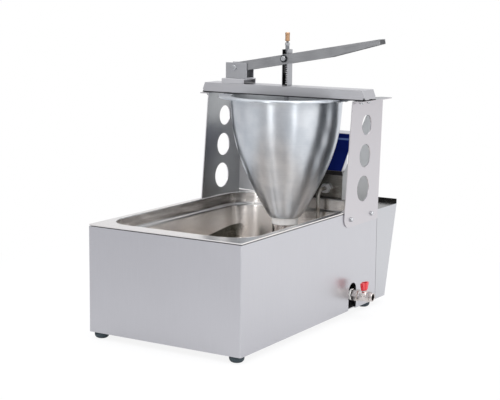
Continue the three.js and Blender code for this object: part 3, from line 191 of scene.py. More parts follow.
for name, place, wide, tall, power in (
    ("soft_box_left", (-1.9, -1.7, 1.9), 1.8, 1.8, 19),
    ("soft_box_right", (2.4, -0.2, 1.7), 1.5, 1.5, 15),
    ("soft_box_over", (0.1, 0.3, 2.6), 1.6, 1.6, 14),
    ("strip_front", (-0.08, -2.6, 0.7), 0.36, 1.3, 7.5),
    ("strip_right", (1.82, -1.64, 0.7), 0.2, 1.3, 5),
):
    lamp = bpy.data.lights.new(name, "AREA")
    lamp.shape, lamp.size, lamp.size_y, lamp.energy = "RECTANGLE", wide, tall, power
    box = bpy.data.objects.new(name, lamp)
    aim = Vector((0, 0, 0.25)) - Vector(place)
    box.matrix_world = Matrix.Translation(place) @ aim.to_track_quat("-Z", "Y").to_matrix().to_4x4()
    bpy.context.scene.collection.objects.link(box)


# ---- Casing
# The front and both sides are one sheet of stainless steel, folded at the front corners and turned in
# along its lower edge. A flanged panel closes the back, and a slotted plate is bolted in as the floor.
def drawn_lines(where, pitch, along):
    """The grain that a belt leaves on sheet: noise drawn out along one axis. Pitch is in lines per metre."""
    scale = [pitch] * 3
    scale["xyz".index(along)] = pitch / 60
    stretched = where.node("Mapping", {"Vector": where, "Scale": scale})
    return where.node("TexNoise", {"Vector": stretched, "Scale": 1.0, "Detail": 3.0, "Roughness": 0.65})


def clouds(where, size, detail=2.0):
    """Slow noise whose patches are about as wide as size, in metres."""
    return where.node("TexNoise", {"Vector": where, "Scale": 1 / size, "Detail": detail, "Roughness": 0.5})


def tint(colour, share):
    """A shader colour with its light scaled by share."""
    return tuple(channel * share for channel in colour[:3]) + (1.0,)


def brushed(name, colour, roughness, along, pitch=1100, contrast=0.05, painted_shade_top=None):
    """Brushed steel: drawn lines under faint slow patches, and painted shade below a height if one is given.
    """
    material, where = start_finish(name, colour, metallic=1.0)
    lines = drawn_lines(where, pitch, along)
    patches = clouds(where, 0.12)
    mottle = (0.6 * lines + 0.4 * patches).between(0.3, 0.7)
    shade = mottle.mix(tint(ink(colour), 1 - contrast), ink(colour))
    # Below that height the colour turns dark grey as painted shade.
    if painted_shade_top:
        height = where.node("SeparateXYZ", {0: where}).twin("Z")
        shade = height.between(painted_shade_top - 1.5 * MM, painted_shade_top).mix(ink("38383a"), shade)
    feed(
        material,
        colour=shade,
        roughness=roughness - 0.06 + 0.08 * lines + 0.08 * patches,
        bump=lines * (0.05 * contrast),
    )
    return material


def add_piece(name, shape, material, body="frame", replaced=(), sharp=35):
    """Makes a shape a finished piece on a body, for CAD nodes. Edges over sharp degrees stay crisp."""
    mesh = bpy.data.meshes.new(name)
    shape.to_mesh(mesh)
    shape.free()
    mesh.materials.append(material)
    mesh.shade_smooth()
    mesh.set_sharp_from_angle(angle=math.radians(sharp))
    piece = bpy.data.objects.new(name, mesh)
    bpy.context.scene.collection.objects.link(piece)
    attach(piece, body)
    if replaced:
        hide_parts(*replaced)
    return piece


def soften(piece, width, segments=2):
    """Rounds a piece's edges, so that they catch the light."""
    bevel = piece.modifiers.new("edges", "BEVEL")
    bevel.width, bevel.segments, bevel.limit_method = width, segments, "ANGLE"
    bevel.angle_limit, bevel.harden_normals = math.radians(38), True


def thicken(piece, thickness, back=0):
    """Gives a sheet its thickness, away from its faces. Back is the material slot of its other side."""
    wall = piece.modifiers.new("sheet", "SOLIDIFY")
    wall.thickness, wall.offset, wall.use_even_offset = thickness, -1.0, True
    wall.material_offset = back


def drawing_of(node):
    """A CAD node's own shape, with its loose triangles joined up."""
    shape = bmesh.new()
    shape.from_mesh(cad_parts[node].data)
    bmesh.ops.remove_doubles(shape, verts=shape.verts, dist=1e-6)
    bmesh.ops.dissolve_limit(shape, angle_limit=math.radians(0.5), verts=shape.verts, edges=shape.edges)
    return shape


def folded(node, material, body="frame", radius=0.5 * MM):
    """Makes a CAD node's piece, with its cut edges and folds rounded."""
    soften(add_piece(node + "_folded", drawing_of(node), material, body, [node]), radius)


def shift(shape, inside, vec):
    """Moves the corners of a shape for which inside is true."""
    bmesh.ops.translate(shape, vec=vec, verts=[v for v in shape.verts if inside(v.co)])


casing_steel = brushed("casing_steel", "c8c8cc", 0.30, "z")
casing_low, casing_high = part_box("body_wrap")
casing = drawing_of("body_wrap")
back_gap = 0.4 * MM
shift(casing, lambda place: place.y > casing_high.y - 0.1 * MM, (0, -back_gap, 0))
soften(add_piece("folded_casing", casing, casing_steel, replaced=["body_wrap"]), 0.4 * MM)
folded("rear_panel", casing_steel)
base_steel = brushed("base_steel", "c3c4c7", 0.36, "y")
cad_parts["base_plate"].material_slots[0].material = base_steel


# ---- Feet
# Four moulded rubber feet are screwed up through the casing floor. They are round below, like a bowl,
# with a shallow groove under the shoulder.
def turn(profile, centre, axis=(0, 0, 1), steps=64, start=(1, 0, 0)):
    """Spins an outline of (radius, height) pairs about an axis through centre."""
    shape = bmesh.new()
    centre, axis, start = Vector(centre), Vector(axis), Vector(start)
    verts = [shape.verts.new(centre + start * radius + axis * height) for radius, height in profile]
    edges = [shape.edges.new(pair) for pair in zip(verts, verts[1:])]
    if profile[0][0] > 0:
        edges.append(shape.edges.new((verts[-1], verts[0])))
    bmesh.ops.spin(
        shape, geom=verts + edges, cent=centre, axis=axis, dvec=(0, 0, 0),
        angle=2 * math.pi, steps=steps, use_merge=True,
    )
    bmesh.ops.remove_doubles(shape, verts=shape.verts, dist=1e-6)
    bmesh.ops.recalc_face_normals(shape, faces=shape.faces)
    return shape


def arc(across, up, radius, start, end, steps):
    """Points along an arc about the point (across, up), from start to end in degrees."""
    angles = (math.radians(start + (end - start) * i / steps) for i in range(steps + 1))
    return [(across + radius * math.cos(a), up + radius * math.sin(a)) for a in angles]


def hexagon(shape, centre, flats, bottom, top, chamfer=0.0):
    """Adds an upright hexagonal prism to a shape, with its top corners chamfered if asked."""
    radius = flats / math.sqrt(3)
    place = Matrix.Translation((centre[0], centre[1], (bottom + top) / 2))
    made = bmesh.ops.create_cone(
        shape, cap_ends=True, segments=6, radius1=radius, radius2=radius, depth=top - bottom, matrix=place
    )
    if chamfer:
        edges = {e for v in made["verts"] for e in v.link_edges}
        rim = [e for e in edges if all(abs(v.co.z - top) < 1e-7 for v in e.verts)]
        bmesh.ops.bevel(
            shape, geom=rim, offset=chamfer, affect="EDGES", segments=1, profile=0.5, material=-1
        )


rubber, where = start_finish("foot_rubber", "2b363b", roughness=0.7)
crumbs = clouds(where, 0.0012, 4.0)
slate = crumbs.mix(ink("243036"), ink("37444a"))
feed(rubber, roughness=0.55 + 0.2 * crumbs, bump=crumbs * 0.05, colour=slate)
foot_top = casing_low.z - 0.3 * MM
bowl, screw, nut_flats = 8 * MM, 3 * MM, 11 * MM
for corner in ("front_left", "front_right", "rear_left", "rear_right"):
    low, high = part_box("foot_" + corner)
    middle = (low + high) / 2
    radius = (high.x - low.x) / 2
    neck = radius - 0.7 * MM
    foot = turn(
        [
            (0, 0), *arc(radius - bowl, bowl, bowl, -80, 0, steps=8), (radius, foot_top - 3.2 * MM),
            (neck, foot_top - 2.8 * MM), (neck, foot_top - 2.2 * MM), (radius, foot_top - 1.8 * MM),
            (radius, foot_top - 0.5 * MM), (radius - 0.5 * MM, foot_top), (screw, foot_top),
            (screw, high.z), (0, high.z),
        ],
        (middle.x, middle.y, 0),
    )
    hexagon(foot, middle, nut_flats, bottom=high.z - 5 * MM, top=high.z - 1 * MM)
    add_piece("rubber_" + corner, foot, rubber, replaced=["foot_" + corner])


# ---- Oil tank
# One deep-drawn pan of polished stainless steel: a flat deck with a folded lip, a rolled mouth, a step
# for a draining rack, steep walls and a wide floor radius. Frying has left a straw tint low down. On the
# left, a smeared brown band along the step and over the wall above it is a tide line and also a painted
# dark reflection, and a patch of painted dark reflection lies on the left wall.
def rounded_sheet(shape, low, high, z, radius, segments=12):
    """Adds a flat face with rounded corners, and gives it back."""
    place = Matrix.Translation(((low[0] + high[0]) / 2, (low[1] + high[1]) / 2, z)) @ Matrix.Diagonal(
        ((high[0] - low[0]) / 2, (high[1] - low[1]) / 2, 1, 1)
    )
    made = bmesh.ops.create_grid(shape, x_segments=1, y_segments=1, size=1.0, matrix=place)
    bent = bmesh.ops.bevel(
        shape, geom=made["verts"], offset=radius, offset_type="OFFSET", affect="VERTICES",
        segments=segments, profile=0.5, material=-1,
    )
    return max((f for v in bent["verts"] for f in v.link_faces), key=lambda f: f.calc_area())


def corners_in(made):
    """The corners among the geometry that an operator made."""
    return [part for part in made["geom"] if isinstance(part, bmesh.types.BMVert)]


pan_steel, where = start_finish("pan_steel", "f2f0ee", metallic=1.0)
height = where.node("SeparateXYZ", {0: where}).twin("Z")
low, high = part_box("fry_tank")
stain = height.between(0.08, 0.20, 1.0, 0.15) * clouds(where, 0.09, 4.0).between(0.3, 0.7)
level = where.node("Mapping", {"Vector": where, "Scale": (30, 12, 90)})
smear = where.node("TexNoise", {"Vector": level, "Scale": 1.0, "Detail": 3.0})
step_z = high.z - 24 * MM
# The band along the step and over the wall above it is a tide line, darkened further as a painted reflection.
tide_and_reflection_band = height.between(step_z - 10 * MM, step_z - 5 * MM) * height.between(step_z, step_z + 6 * MM, 1.0, 0.0)
above = height.between(step_z, step_z + 3 * MM) * height.between(high.z - 3 * MM, high.z - 1 * MM, 1.0, 0.0)
east = where.node("SeparateXYZ", {0: where})
north = east.twin("Y") + 0.004 * clouds(where, 0.03, 1.0)
left = east.between(-0.19, -0.12, 1.0, 0.25)
rearward = north.between(-0.16, 0.02, 0.3, 1.0)
soil_and_reflection = tide_and_reflection_band * rearward * smear.between(0.3, 0.56, 0.2, 0.5) + above * smear.between(0.3, 0.62, 0.15, 0.6)
soil_and_reflection = left * soil_and_reflection

# The patch of painted dark reflection ends at a plumb front edge, a leaning rear edge and a nearly level top.
painted_dark_reflection = north.between(0.060, 0.062) * (north + 0.78 * height).between(0.297, 0.300, 1.0, 0.0)
painted_dark_reflection = painted_dark_reflection * (height - 0.1 * north).between(0.133, 0.135, 1.0, 0.0) * east.between(-0.16, -0.14, 1.0, 0.0)
swirl = drawn_lines(where, 500, "y")
feed(
    pan_steel,
    colour=painted_dark_reflection.mix(soil_and_reflection.mix(stain.mix(ink("f2f0ee"), ink("e6dad0")), ink("59514a")), ink("5c5b54")),
    roughness=0.20 + 0.06 * swirl + 0.10 * stain,
    bump=swirl * 0.002 + clouds(where, 0.06, 0.0) * 0.2,
)

# Each level of the wall is given by how far in from the mouth's edge it lies, and how deep.
pan_sheet, mouth_roll, wall_foot, floor_roll = 1.2 * MM, 3 * MM, 14 * MM, 26 * MM
straight_end = high.z - low.z - pan_sheet - floor_roll
roll_angles = [i * math.pi / 10 for i in range(1, 6)]
levels = [(mouth_roll * math.sin(a), mouth_roll * (1 - math.cos(a))) for a in roll_angles]
levels += [(3.0 * MM, 22.6 * MM), (3.3 * MM, 24.2 * MM), (4.6 * MM, 25.6 * MM)]
levels += [(6.8 * MM, 27.2 * MM), (7.8 * MM, 28.8 * MM), (8.1 * MM, 31.0 * MM), (wall_foot, straight_end)]
levels += [
    (wall_foot + floor_roll * (1 - math.cos(a)), straight_end + floor_roll * math.sin(a))
    for a in (i * math.pi / 16 for i in range(1, 9))
]
pan = bmesh.new()
left_deck, front_deck, other_deck, mouth_corner = 7 * MM, 31 * MM, 12 * MM, 63 * MM
mouth_low = (low.x + left_deck, low.y + front_deck)
mouth_high = (high.x - other_deck, high.y - other_deck)
well = rounded_sheet(pan, mouth_low, mouth_high, high.z, mouth_corner, 16)
rim = list(well.edges)
inset, depth = 0.0, 0.0
for next_inset, next_depth in levels:
    bmesh.ops.inset_region(
        pan, faces=[well], thickness=next_inset - inset, depth=depth - next_depth,
        use_boundary=True, use_even_offset=True,
    )
    inset, depth = next_inset, next_depth
floor_edges = list(well.edges)
bmesh.ops.delete(pan, geom=[well], context="FACES_ONLY")
valve_low, valve_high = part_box("valve_body")
pipe_low, pipe_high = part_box("drain_pipe")
flange_radius = 12 * MM
drain_x, drain_y = pipe_low.x + flange_radius, (valve_low.y + valve_high.y) / 2
hole = bmesh.ops.create_circle(
    pan, segments=32, radius=8.8 * MM, matrix=Matrix.Translation((drain_x, drain_y, high.z - depth))
)
hole_edges = list({e for v in hole["verts"] for e in v.link_edges})
bmesh.ops.triangle_fill(pan, use_beauty=True, edges=floor_edges + hole_edges)
deck = rounded_sheet(pan, (low.x, low.y), (high.x, high.y), high.z, 4 * MM)
deck_edges = list(deck.edges)
bmesh.ops.delete(pan, geom=[deck], context="FACES_ONLY")
bmesh.ops.bridge_loops(pan, edges=rim + deck_edges)
lip = bmesh.ops.extrude_edge_only(pan, edges=deck_edges)
bmesh.ops.translate(pan, vec=(0, 0, -2.2 * MM), verts=corners_in(lip))
bmesh.ops.recalc_face_normals(pan, faces=pan.faces)
tank = add_piece("pressed_tank", pan, pan_steel, replaced=["fry_tank"], sharp=50)
thicken(tank, pan_sheet)
soften(tank, 0.4 * MM)


# ---- Drain pipe
# A bent stainless pipe is welded under the drain hole with a flange, and leaves the casing through the
# arch in its side. White sealing tape is wound on the thread where it enters the valve.
def follow(shape, corners, bend, radius, sides, steps):
    """Adds a round bar's skin that runs through corners, straight between bends of one radius."""
    corners = [Vector(corner) for corner in corners]
    facing = (corners[1] - corners[0]).to_track_quat("Z", "Y").to_matrix().to_4x4()
    ring = bmesh.ops.create_circle(
        shape, segments=sides, radius=radius, matrix=Matrix.Translation(corners[0]) @ facing
    )
    edges = list({e for v in ring["verts"] for e in v.link_edges})
    place = corners[0]
    for before, corner, after in zip(corners, corners[1:], corners[2:] + [None]):
        ahead = (corner - before).normalized()
        onward = (after - corner).normalized() if after else ahead
        angle = ahead.angle(onward)
        start = corner - ahead * bend * math.tan(angle / 2)
        made = bmesh.ops.extrude_edge_only(shape, edges=edges)
        bmesh.ops.translate(shape, vec=start - place, verts=corners_in(made))
        edges = [g for g in made["geom"] if isinstance(g, bmesh.types.BMEdge) and len(g.link_faces) == 1]
        if after:
            axis = ahead.cross(onward).normalized()
            swung = bmesh.ops.spin(
                shape, geom=edges + corners_in(made), cent=start + axis.cross(ahead) * bend, axis=axis,
                dvec=(0, 0, 0), angle=angle, steps=steps,
            )
            edges = [g for g in swung["geom_last"] if isinstance(g, bmesh.types.BMEdge)]
            place = corner + onward * bend * math.tan(angle / 2)
    bmesh.ops.recalc_face_normals(shape, faces=shape.faces)


ball_low, ball_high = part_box("valve_ball")
stem_x = (ball_low.x + ball_high.x) / 2
axis_z = ball_low.z + 7.8 * MM
inlet = (valve_low.x, drain_y, axis_z)
pipe = bmesh.new()
pipe_end = valve_low.x + 11 * MM
follow(
    pipe, [(drain_x, drain_y, pipe_high.z), (drain_x, drain_y, axis_z), (pipe_end, drain_y, axis_z)],
    bend=16 * MM, radius=8.5 * MM, sides=32, steps=12,
)
pipe_steel = brushed("pipe_steel", "c9cacd", 0.26, "x", pitch=700)
drain = add_piece("bent_drain_pipe", pipe, pipe_steel, replaced=["drain_pipe"])
thicken(drain, 2 * MM)
round_pipe = 8.6 * MM
flange = turn(
    [
        (round_pipe, -2.7 * MM), (flange_radius, -2.7 * MM), (flange_radius, -1.6 * MM),
        (round_pipe, -1.6 * MM),
    ],
    (drain_x, drain_y, pipe_high.z), steps=40,
)
add_piece("drain_flange", flange, pipe_steel)
tape, where = start_finish("sealing_tape", "fbfaf7", roughness=0.6)
feed(tape, bump=clouds(where, 0.003) * 0.02)
winding = turn(
    [
        (round_pipe, -4.6 * MM), (10.9 * MM, -4.6 * MM), (11.6 * MM, -4 * MM), (11.8 * MM, -0.3 * MM),
        (11.5 * MM, -0.1 * MM), (round_pipe, -0.1 * MM),
    ],
    inlet, axis=(1, 0, 0), steps=40, start=(0, 0, 1),
)
add_piece("tape_winding", winding, tape)


# ---- Ball valve
# A small brass ball valve, nickel plated: a hexagonal inlet, a round barrel for the ball with a stem
# boss on top, a hexagonal flat and a plain spout. The spout's bore and the ball are painted dark as shade.
def hex_ring(shape, start, flats, length, bore, chamfer):
    """Adds a hexagonal nut along X with a round bore, its corners chamfered at the outer end."""
    middle = Vector((start + length / 2, drain_y, axis_z))
    lie = Matrix.Translation(middle) @ Matrix.Rotation(math.radians(90), 4, "Y")
    skins = [
        bmesh.ops.create_cone(
            shape, cap_ends=False, segments=sides, radius1=radius, radius2=radius, depth=length, matrix=lie
        )["verts"]
        for sides, radius in ((6, flats / math.sqrt(3)), (24, bore))
    ]
    for end in (start, start + length):
        edges = {e for skin in skins for v in skin for e in v.link_edges}
        edges = [e for e in edges if all(abs(v.co.x - end) < 1e-7 for v in e.verts)]
        rims = [e for e in edges if e.verts[0] in skins[0]]
        bmesh.ops.triangle_fill(shape, use_beauty=True, edges=edges)
    bmesh.ops.bevel(shape, geom=rims, offset=chamfer, affect="EDGES", segments=1, profile=0.5, material=-1)
    bmesh.ops.recalc_face_normals(shape, faces=shape.faces)


plate, where = start_finish("nickel_plate", "d3cdc9", metallic=1.0)
pits = clouds(where, 0.004, 3.0)
feed(plate, roughness=0.2 + 0.1 * pits, bump=pits * 0.004, colour=pits.mix(ink("cbc3be"), ink("dfdad7")))
end = valve_high.x - valve_low.x
ball = stem_x - valve_low.x
neck, swell, spout, groove = 9.2 * MM, 10.9 * MM, 9 * MM, 8.3 * MM
passage, mouth = 7 * MM, 6.7 * MM
barrel = turn(
    [
        (passage, 11 * MM), (neck, 11 * MM), (neck, 13 * MM), (10 * MM, 14.4 * MM),
        (10.3 * MM, ball - 7.4 * MM), (swell, ball - 6.8 * MM), (swell, ball + 6 * MM),
        (10.2 * MM, ball + 7 * MM), (spout, ball + 7.6 * MM), (spout, end - 6.4 * MM),
        (groove, end - 6 * MM), (groove, end - 5.2 * MM), (spout, end - 4.8 * MM),
        (spout, end - 0.8 * MM), (8.3 * MM, end), (7.1 * MM, end), (mouth, end - 0.4 * MM),
        (mouth, ball + 8 * MM), (passage, ball + 8 * MM),
    ],
    inlet, axis=(1, 0, 0), steps=56, start=(0, 0, 1),
)
bore_painted_shade, where = start_finish("bore_painted_shade", "1d1815", roughness=0.5)
feed(bore_painted_shade, bump=clouds(where, 0.002) * 0.1)
# Faces inside the spout's mouth are painted dark as shade.
for face in barrel.faces:
    centre = face.calc_center_median() - Vector(inlet)
    if centre.x > ball and math.hypot(centre.y, centre.z) < mouth + 0.1 * MM:
        face.material_index = 1
piece = add_piece("valve_barrel", barrel, plate, replaced=["valve_body"])
piece.data.materials.append(bore_painted_shade)
nuts = bmesh.new()
hex_ring(nuts, valve_low.x, flats=21.5 * MM, length=12 * MM, bore=8.7 * MM, chamfer=0.8 * MM)
hex_ring(nuts, valve_high.x - 13 * MM, flats=19 * MM, length=6 * MM, bore=8.9 * MM, chamfer=0.6 * MM)
soften(add_piece("valve_hexes", nuts, plate), 0.25 * MM)
boss = turn(
    [
        (3.3 * MM, 8 * MM), (5.5 * MM, 8 * MM), (5.5 * MM, 11.6 * MM), (5 * MM, 12.2 * MM),
        (3.3 * MM, 12.2 * MM),
    ],
    (stem_x, drain_y, axis_z), steps=32,
)
add_piece("stem_boss", boss, plate)
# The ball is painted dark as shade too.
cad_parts["valve_ball"].material_slots[0].material = bore_painted_shade
folded("valve_stem", plate, "drain_valve", radius=0.3 * MM)
folded("handle_nut", plate, "drain_valve", radius=0.3 * MM)

# The handle is moulded in glossy red plastic: two stubby wings that lean outwards, either side of a
# cup that sits on the stem's flats and holds its nut.
red, where = start_finish("red_handle", "d21c28", roughness=0.3, coat_weight=0.4, coat_roughness=0.12)
lumps = clouds(where, 0.006)
feed(red, bump=lumps * 0.1, colour=lumps.mix(ink("c31a25"), ink("e02531")))
low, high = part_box("valve_handle")
wings = bmesh.new()
half = [(9, 0), (12.6, 10), (13, 14.5), (11.6, 16), (5.3, 15.9), (5.3, 4)]
outline = [(y, z) for y, z in half] + [(-y, z) for y, z in reversed(half)]
wing_inset = 2.5 * MM
verts = [wings.verts.new((low.x + wing_inset, drain_y + y * MM, low.z + z * MM)) for y, z in outline]
made = bmesh.ops.extrude_face_region(wings, geom=[wings.faces.new(verts)])
bmesh.ops.translate(wings, vec=(high.x - low.x - 2 * wing_inset, 0, 0), verts=corners_in(made))
bmesh.ops.recalc_face_normals(wings, faces=wings.faces)
soften(add_piece("handle_wings", wings, red, "drain_valve", ["valve_handle"]), 1.2 * MM, segments=4)
hole, bore, radius, base = 3.2 * MM, 5.3 * MM, 6 * MM, 4 * MM
cup = turn(
    [
        (hole, 0), (5.4 * MM, 0), (radius, 0.6 * MM), (radius, 15.4 * MM), (5.7 * MM, 15.8 * MM),
        (bore, 15.6 * MM), (bore, base), (hole, base),
    ],
    (stem_x, drain_y, low.z), steps=40,
)
add_piece("handle_cup", cup, red, "drain_valve")


# ---- Rear housing
# A shallow box of the same sheet closes the back below the heating head. Its back slopes in towards
# the floor, and its top edge stands up as a low lip. A narrow gap parts it from the casing. Its deck and
# the front of its lip are painted darker as shade.
housing_steel = brushed("housing_steel", "c8c9cc", 0.32, "z")
low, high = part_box("rear_housing")
housing = drawing_of("rear_housing")
casing_gap, lip_tall = 0.6 * MM, 10 * MM
shift(housing, lambda place: place.y < low.y + 0.1 * MM, (0, casing_gap, 0))
# Top faces take the deck's painted shade, and the lip's front faces a darker painted shade.
for face in housing.faces:
    at_lip = face.calc_center_median().z > high.z - lip_tall
    face.material_index = 1 if face.normal.z > 0.9 else 2 * int(at_lip and face.normal.y < -0.9)
piece = add_piece("folded_housing", housing, housing_steel, replaced=["rear_housing"])
piece.data.materials.append(brushed("rear_deck_painted_shade", "939391", 0.3, "x"))
piece.data.materials.append(brushed("lip_painted_shade", "4c4c4a", 0.3, "x"))
soften(piece, 0.4 * MM)


# ---- Side brackets
# Two laser-cut plates with three lightening holes each are bolted to the casing. A flange is folded
# out at the top for the bridge, and a stiffening wing is folded in along the leaning rear edge. The
# inner faces have a darker, coarser grain, darker on the right. The left wing is a paler, matt copy of
# the steel, painted to look lit.
bracket_steel = brushed("bracket_steel", "cdcacd", 0.31, "z", pitch=1300)
left_inner_steel = brushed("left_inner_steel", "b0b2b3", 0.30, "z", pitch=400, contrast=0.06)
dull_steel = brushed("dull_steel", "a4a6a8", 0.34, "z", pitch=400, contrast=0.06)
painted_light_wing, where = start_finish("painted_light_wing", "dcdde0", metallic=0.3)
feed(painted_light_wing, roughness=0.5 + 0.1 * drawn_lines(where, 400, "z"))
low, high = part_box("right_bracket")
bracket_sheet, toe, front_lean, rear_lean = 2 * MM, 20 * MM, 28.5 * MM, 13 * MM
machine_x = (casing_low.x + casing_high.x) / 2
outer_x = casing_high.x + 0.3 * MM + bracket_sheet
flange_z = high.z - bracket_sheet
wing_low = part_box("fry_tank")[1].z + 1 * MM
wing_bend = wing_low + 50 * MM
wing_at_top, wing_leans_back = 22 * MM, 12 * MM
sides = 56
last_turn = 360 - 360 / sides


def front(z):
    """The leaning front edge of a bracket's plate at a height."""
    return low.y + front_lean * (z - low.z) / (high.z - low.z)


def rear(z):
    """Its leaning rear edge."""
    return high.y - rear_lean * (high.z - z) / (high.z - low.z)


for side, way, inner_steel in (("right", 1, dull_steel), ("left", -1, left_inner_steel)):
    bracket = bmesh.new()
    outline = [(rear(z), z) for z in (low.z, wing_low, wing_bend, flange_z)] + [(front(flange_z), flange_z)]
    outline += arc(front(low.z + toe) + toe, low.z + toe, toe, 180, 270, 12)
    holes = [
        arc((front(low.z + up) + rear(low.z + up)) / 2, low.z + up, across / 2, 0, last_turn, sides - 1)
        for up, across in ((72.2 * MM, 53 * MM), (139.3 * MM, 48 * MM), (202 * MM, 42 * MM))
    ]
    edges = []
    for loop in (outline, *holes):
        verts = [bracket.verts.new((machine_x + way * (outer_x - machine_x), y, z)) for y, z in loop]
        edges += [bracket.edges.new(pair) for pair in zip(verts, verts[1:] + verts[:1])]
    bmesh.ops.triangle_fill(bracket, use_beauty=True, edges=edges, normal=(way, 0, 0))

    # The outline runs up the rear edge and forward along the top. Its top edge carries the flange, and
    # the upper rear edges carry the wing, which on the left is a paler matt copy painted to look lit.
    flange = bmesh.ops.extrude_edge_only(bracket, edges=[edges[3]])
    bmesh.ops.translate(bracket, vec=(way * (high.x - outer_x), 0, 0), verts=corners_in(flange))
    wing = bmesh.ops.extrude_edge_only(bracket, edges=edges[1:3])
    for face in {f for v in corners_in(wing) for f in v.link_faces}:
        face.material_index = 1 - way
    for corner in corners_in(wing):
        at_top = corner.co.z > flange_z - 1 * MM
        corner.co.x -= way * (wing_at_top if at_top else outer_x - low.x)
        corner.co.y -= 0 if at_top else wing_leans_back
    bmesh.ops.recalc_face_normals(bracket, faces=bracket.faces)
    bracket.faces.ensure_lookup_table()
    if bracket.faces[0].normal.x * way < 0:
        bmesh.ops.reverse_faces(bracket, faces=bracket.faces)
    piece = add_piece(side + "_cut_bracket", bracket, bracket_steel, replaced=[side + "_bracket"])
    for material in (inner_steel, painted_light_wing, painted_light_wing):
        piece.data.materials.append(material)
    thicken(piece, bracket_sheet, 1)
    soften(piece, 0.35 * MM)


# ---- Bolts
# Zinc-plated hexagon bolts with flanges hold the brackets, the bridge and the hopper's rim. Each has
# its nut inside, on two turns of bare thread.
zinc, where = start_finish("zinc_bolts", "d6d8db", metallic=1.0)
dull = clouds(where, 0.003)
feed(zinc, roughness=0.16 + 0.18 * dull, colour=dull.mix(ink("a9abae"), ink("d6d8da")))


def merge(shape, other):
    """Puts another shape into the first."""
    spare = bpy.data.meshes.new("spare")
    other.to_mesh(spare)
    other.free()
    shape.from_mesh(spare)
    bpy.data.meshes.remove(spare)


def bolt(node, axis, shank, flats, head_last):
    """A bolt in the place of a CAD node: a chamfered head with a flange, a shank and a nut."""
    low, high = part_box(node)
    along = "xyz".index(axis)
    base = (low + high) / 2
    base[along] = low[along]
    length = high[along] - low[along]
    head_tall, nut_start, nut_end = 3.3 * MM, 1 * MM, 5 * MM
    under_head = length - head_tall
    shape = bmesh.new()
    hexagon(shape, (0, 0), flats, under_head, length, chamfer=0.7 * MM)
    hexagon(shape, (0, 0), flats, nut_start, nut_end, chamfer=0.5 * MM)
    stem_top = under_head + 1 * MM
    stem = [(0, 0), (shank - 0.4 * MM, 0), (shank, 0.5 * MM), (shank, stem_top), (0, stem_top)]
    merge(shape, turn(stem, (0, 0, 0), steps=20))
    flange_low, flange_top = under_head - 0.2 * MM, under_head + 0.5 * MM
    edge = [(0, flange_low), (flats * 0.57, flange_low), (flats * 0.5, flange_top), (0, flange_top)]
    merge(shape, turn(edge, (0, 0, 0), steps=28))
    if not head_last:
        half_turn = Matrix.Rotation(math.pi, 3, "X")
        bmesh.ops.rotate(shape, verts=shape.verts, cent=(0, 0, length / 2), matrix=half_turn)
    if axis != "z":
        lie = Matrix.Rotation(math.radians(90 if axis == "x" else -90), 3, "Y" if axis == "x" else "X")
        bmesh.ops.rotate(shape, verts=shape.verts, cent=(0, 0, 0), matrix=lie)
    bmesh.ops.translate(shape, verts=shape.verts, vec=base)
    return shape


for side, outward in (("left", False), ("right", True)):
    for i in (1, 2):
        node = f"{side}_bracket_bolt_{i}"
        add_piece(node + "_hex", bolt(node, "x", 3 * MM, 8.5 * MM, head_last=outward), zinc, replaced=[node])
        for kind in ("bar", "hopper"):
            node = f"{side}_{kind}_bolt_{i}"
            add_piece(node + "_hex", bolt(node, "z", 2.5 * MM, 8 * MM, head_last=True), zinc, replaced=[node])


# ---- Bridge
# A channel of thicker sheet lies open side down across both brackets. Its ends slope, its lower edges
# are turned in to take the bolts, and the saddle, the clevis and the guide post are welded on top. The
# post's inside is painted dark as shade, and painted shade lines the bar's lower edge.
# The bar's colour turns dark in its lowest few millimetres, as painted shade under it.
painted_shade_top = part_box("bridge_bar")[0].z + 3 * MM
bridge_steel = brushed("bridge_steel", "c9c9cc", 0.34, "x", pitch=1000, contrast=0.08, painted_shade_top=painted_shade_top)
folded("bridge_bar", bridge_steel)
fitting_steel = brushed("fitting_steel", "b6b7ba", 0.34, "x", pitch=1000, contrast=0.08)
folded("clevis_saddle", brushed("saddle_steel", "cdcdd0", 0.4, "x", pitch=1000, contrast=0.08))
folded("clevis", fitting_steel)
post = drawing_of("guide_post")
low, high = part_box("guide_post")
post_axis = (low + high) / 2
# Faces turned in towards the post's axis get a dark copy of the steel, painted as shade.
for face in post.faces:
    inward = (post_axis - face.calc_center_median()).xy.dot(face.normal.xy)
    face.material_index = int(inward > 0.5 * MM)
post = add_piece("guide_post_folded", post, fitting_steel, replaced=["guide_post"])
post.data.materials.append(brushed("post_inside_painted_shade", "4c4c4e", 0.4, "z", pitch=400))
soften(post, 0.5 * MM)
pivot = bolt("pivot_bolt", "y", 3 * MM, 10 * MM, head_last=False)
add_piece("pivot_bolt_hex", pivot, zinc, replaced=["pivot_bolt"])


# ---- Hopper
# A cone of spun aluminium that turns upright towards its mouth, with a flat rolled rim bolted under
# the bridge. The spinning tool has left fine rings round it, which draw its reflections out upwards.
# Its inside is a darker copy, scraped with wear and painted darker as shade.
spun, where = start_finish(
    "spun_aluminium", "ced1d5", metallic=1.0, anisotropic=0.85, anisotropic_rotation=0.25,
)
flat = where.node("Mapping", {"Vector": where, "Scale": (6, 6, 1500)})
rings = where.node("TexNoise", {"Vector": flat, "Scale": 1.0, "Detail": 3.0, "Roughness": 0.6})
smears = clouds(where, 0.04, 3.0)
feed(
    spun,
    colour=(0.2 * rings + 0.8 * smears).between(0.3, 0.7).mix(ink("c4cad0"), ink("dadee2")),
    roughness=0.28 + 0.04 * rings + 0.10 * smears,
    bump=rings * 0.0008,
)
low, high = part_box("hopper")
hopper_x, hopper_y = (low.x + high.x) / 2, (low.y + high.y) / 2
sheet, throat, mouth, rim = 1.5 * MM, 34 * MM, 117.5 * MM, (high.x - low.x) / 2
top = high.z - sheet
tall = top - low.z
pulls = [
    Vector((throat, low.z)), Vector((120.8 * MM, low.z + 0.569 * tall)),
    Vector((111.5 * MM, low.z + 0.756 * tall)), Vector((mouth, top)),
]

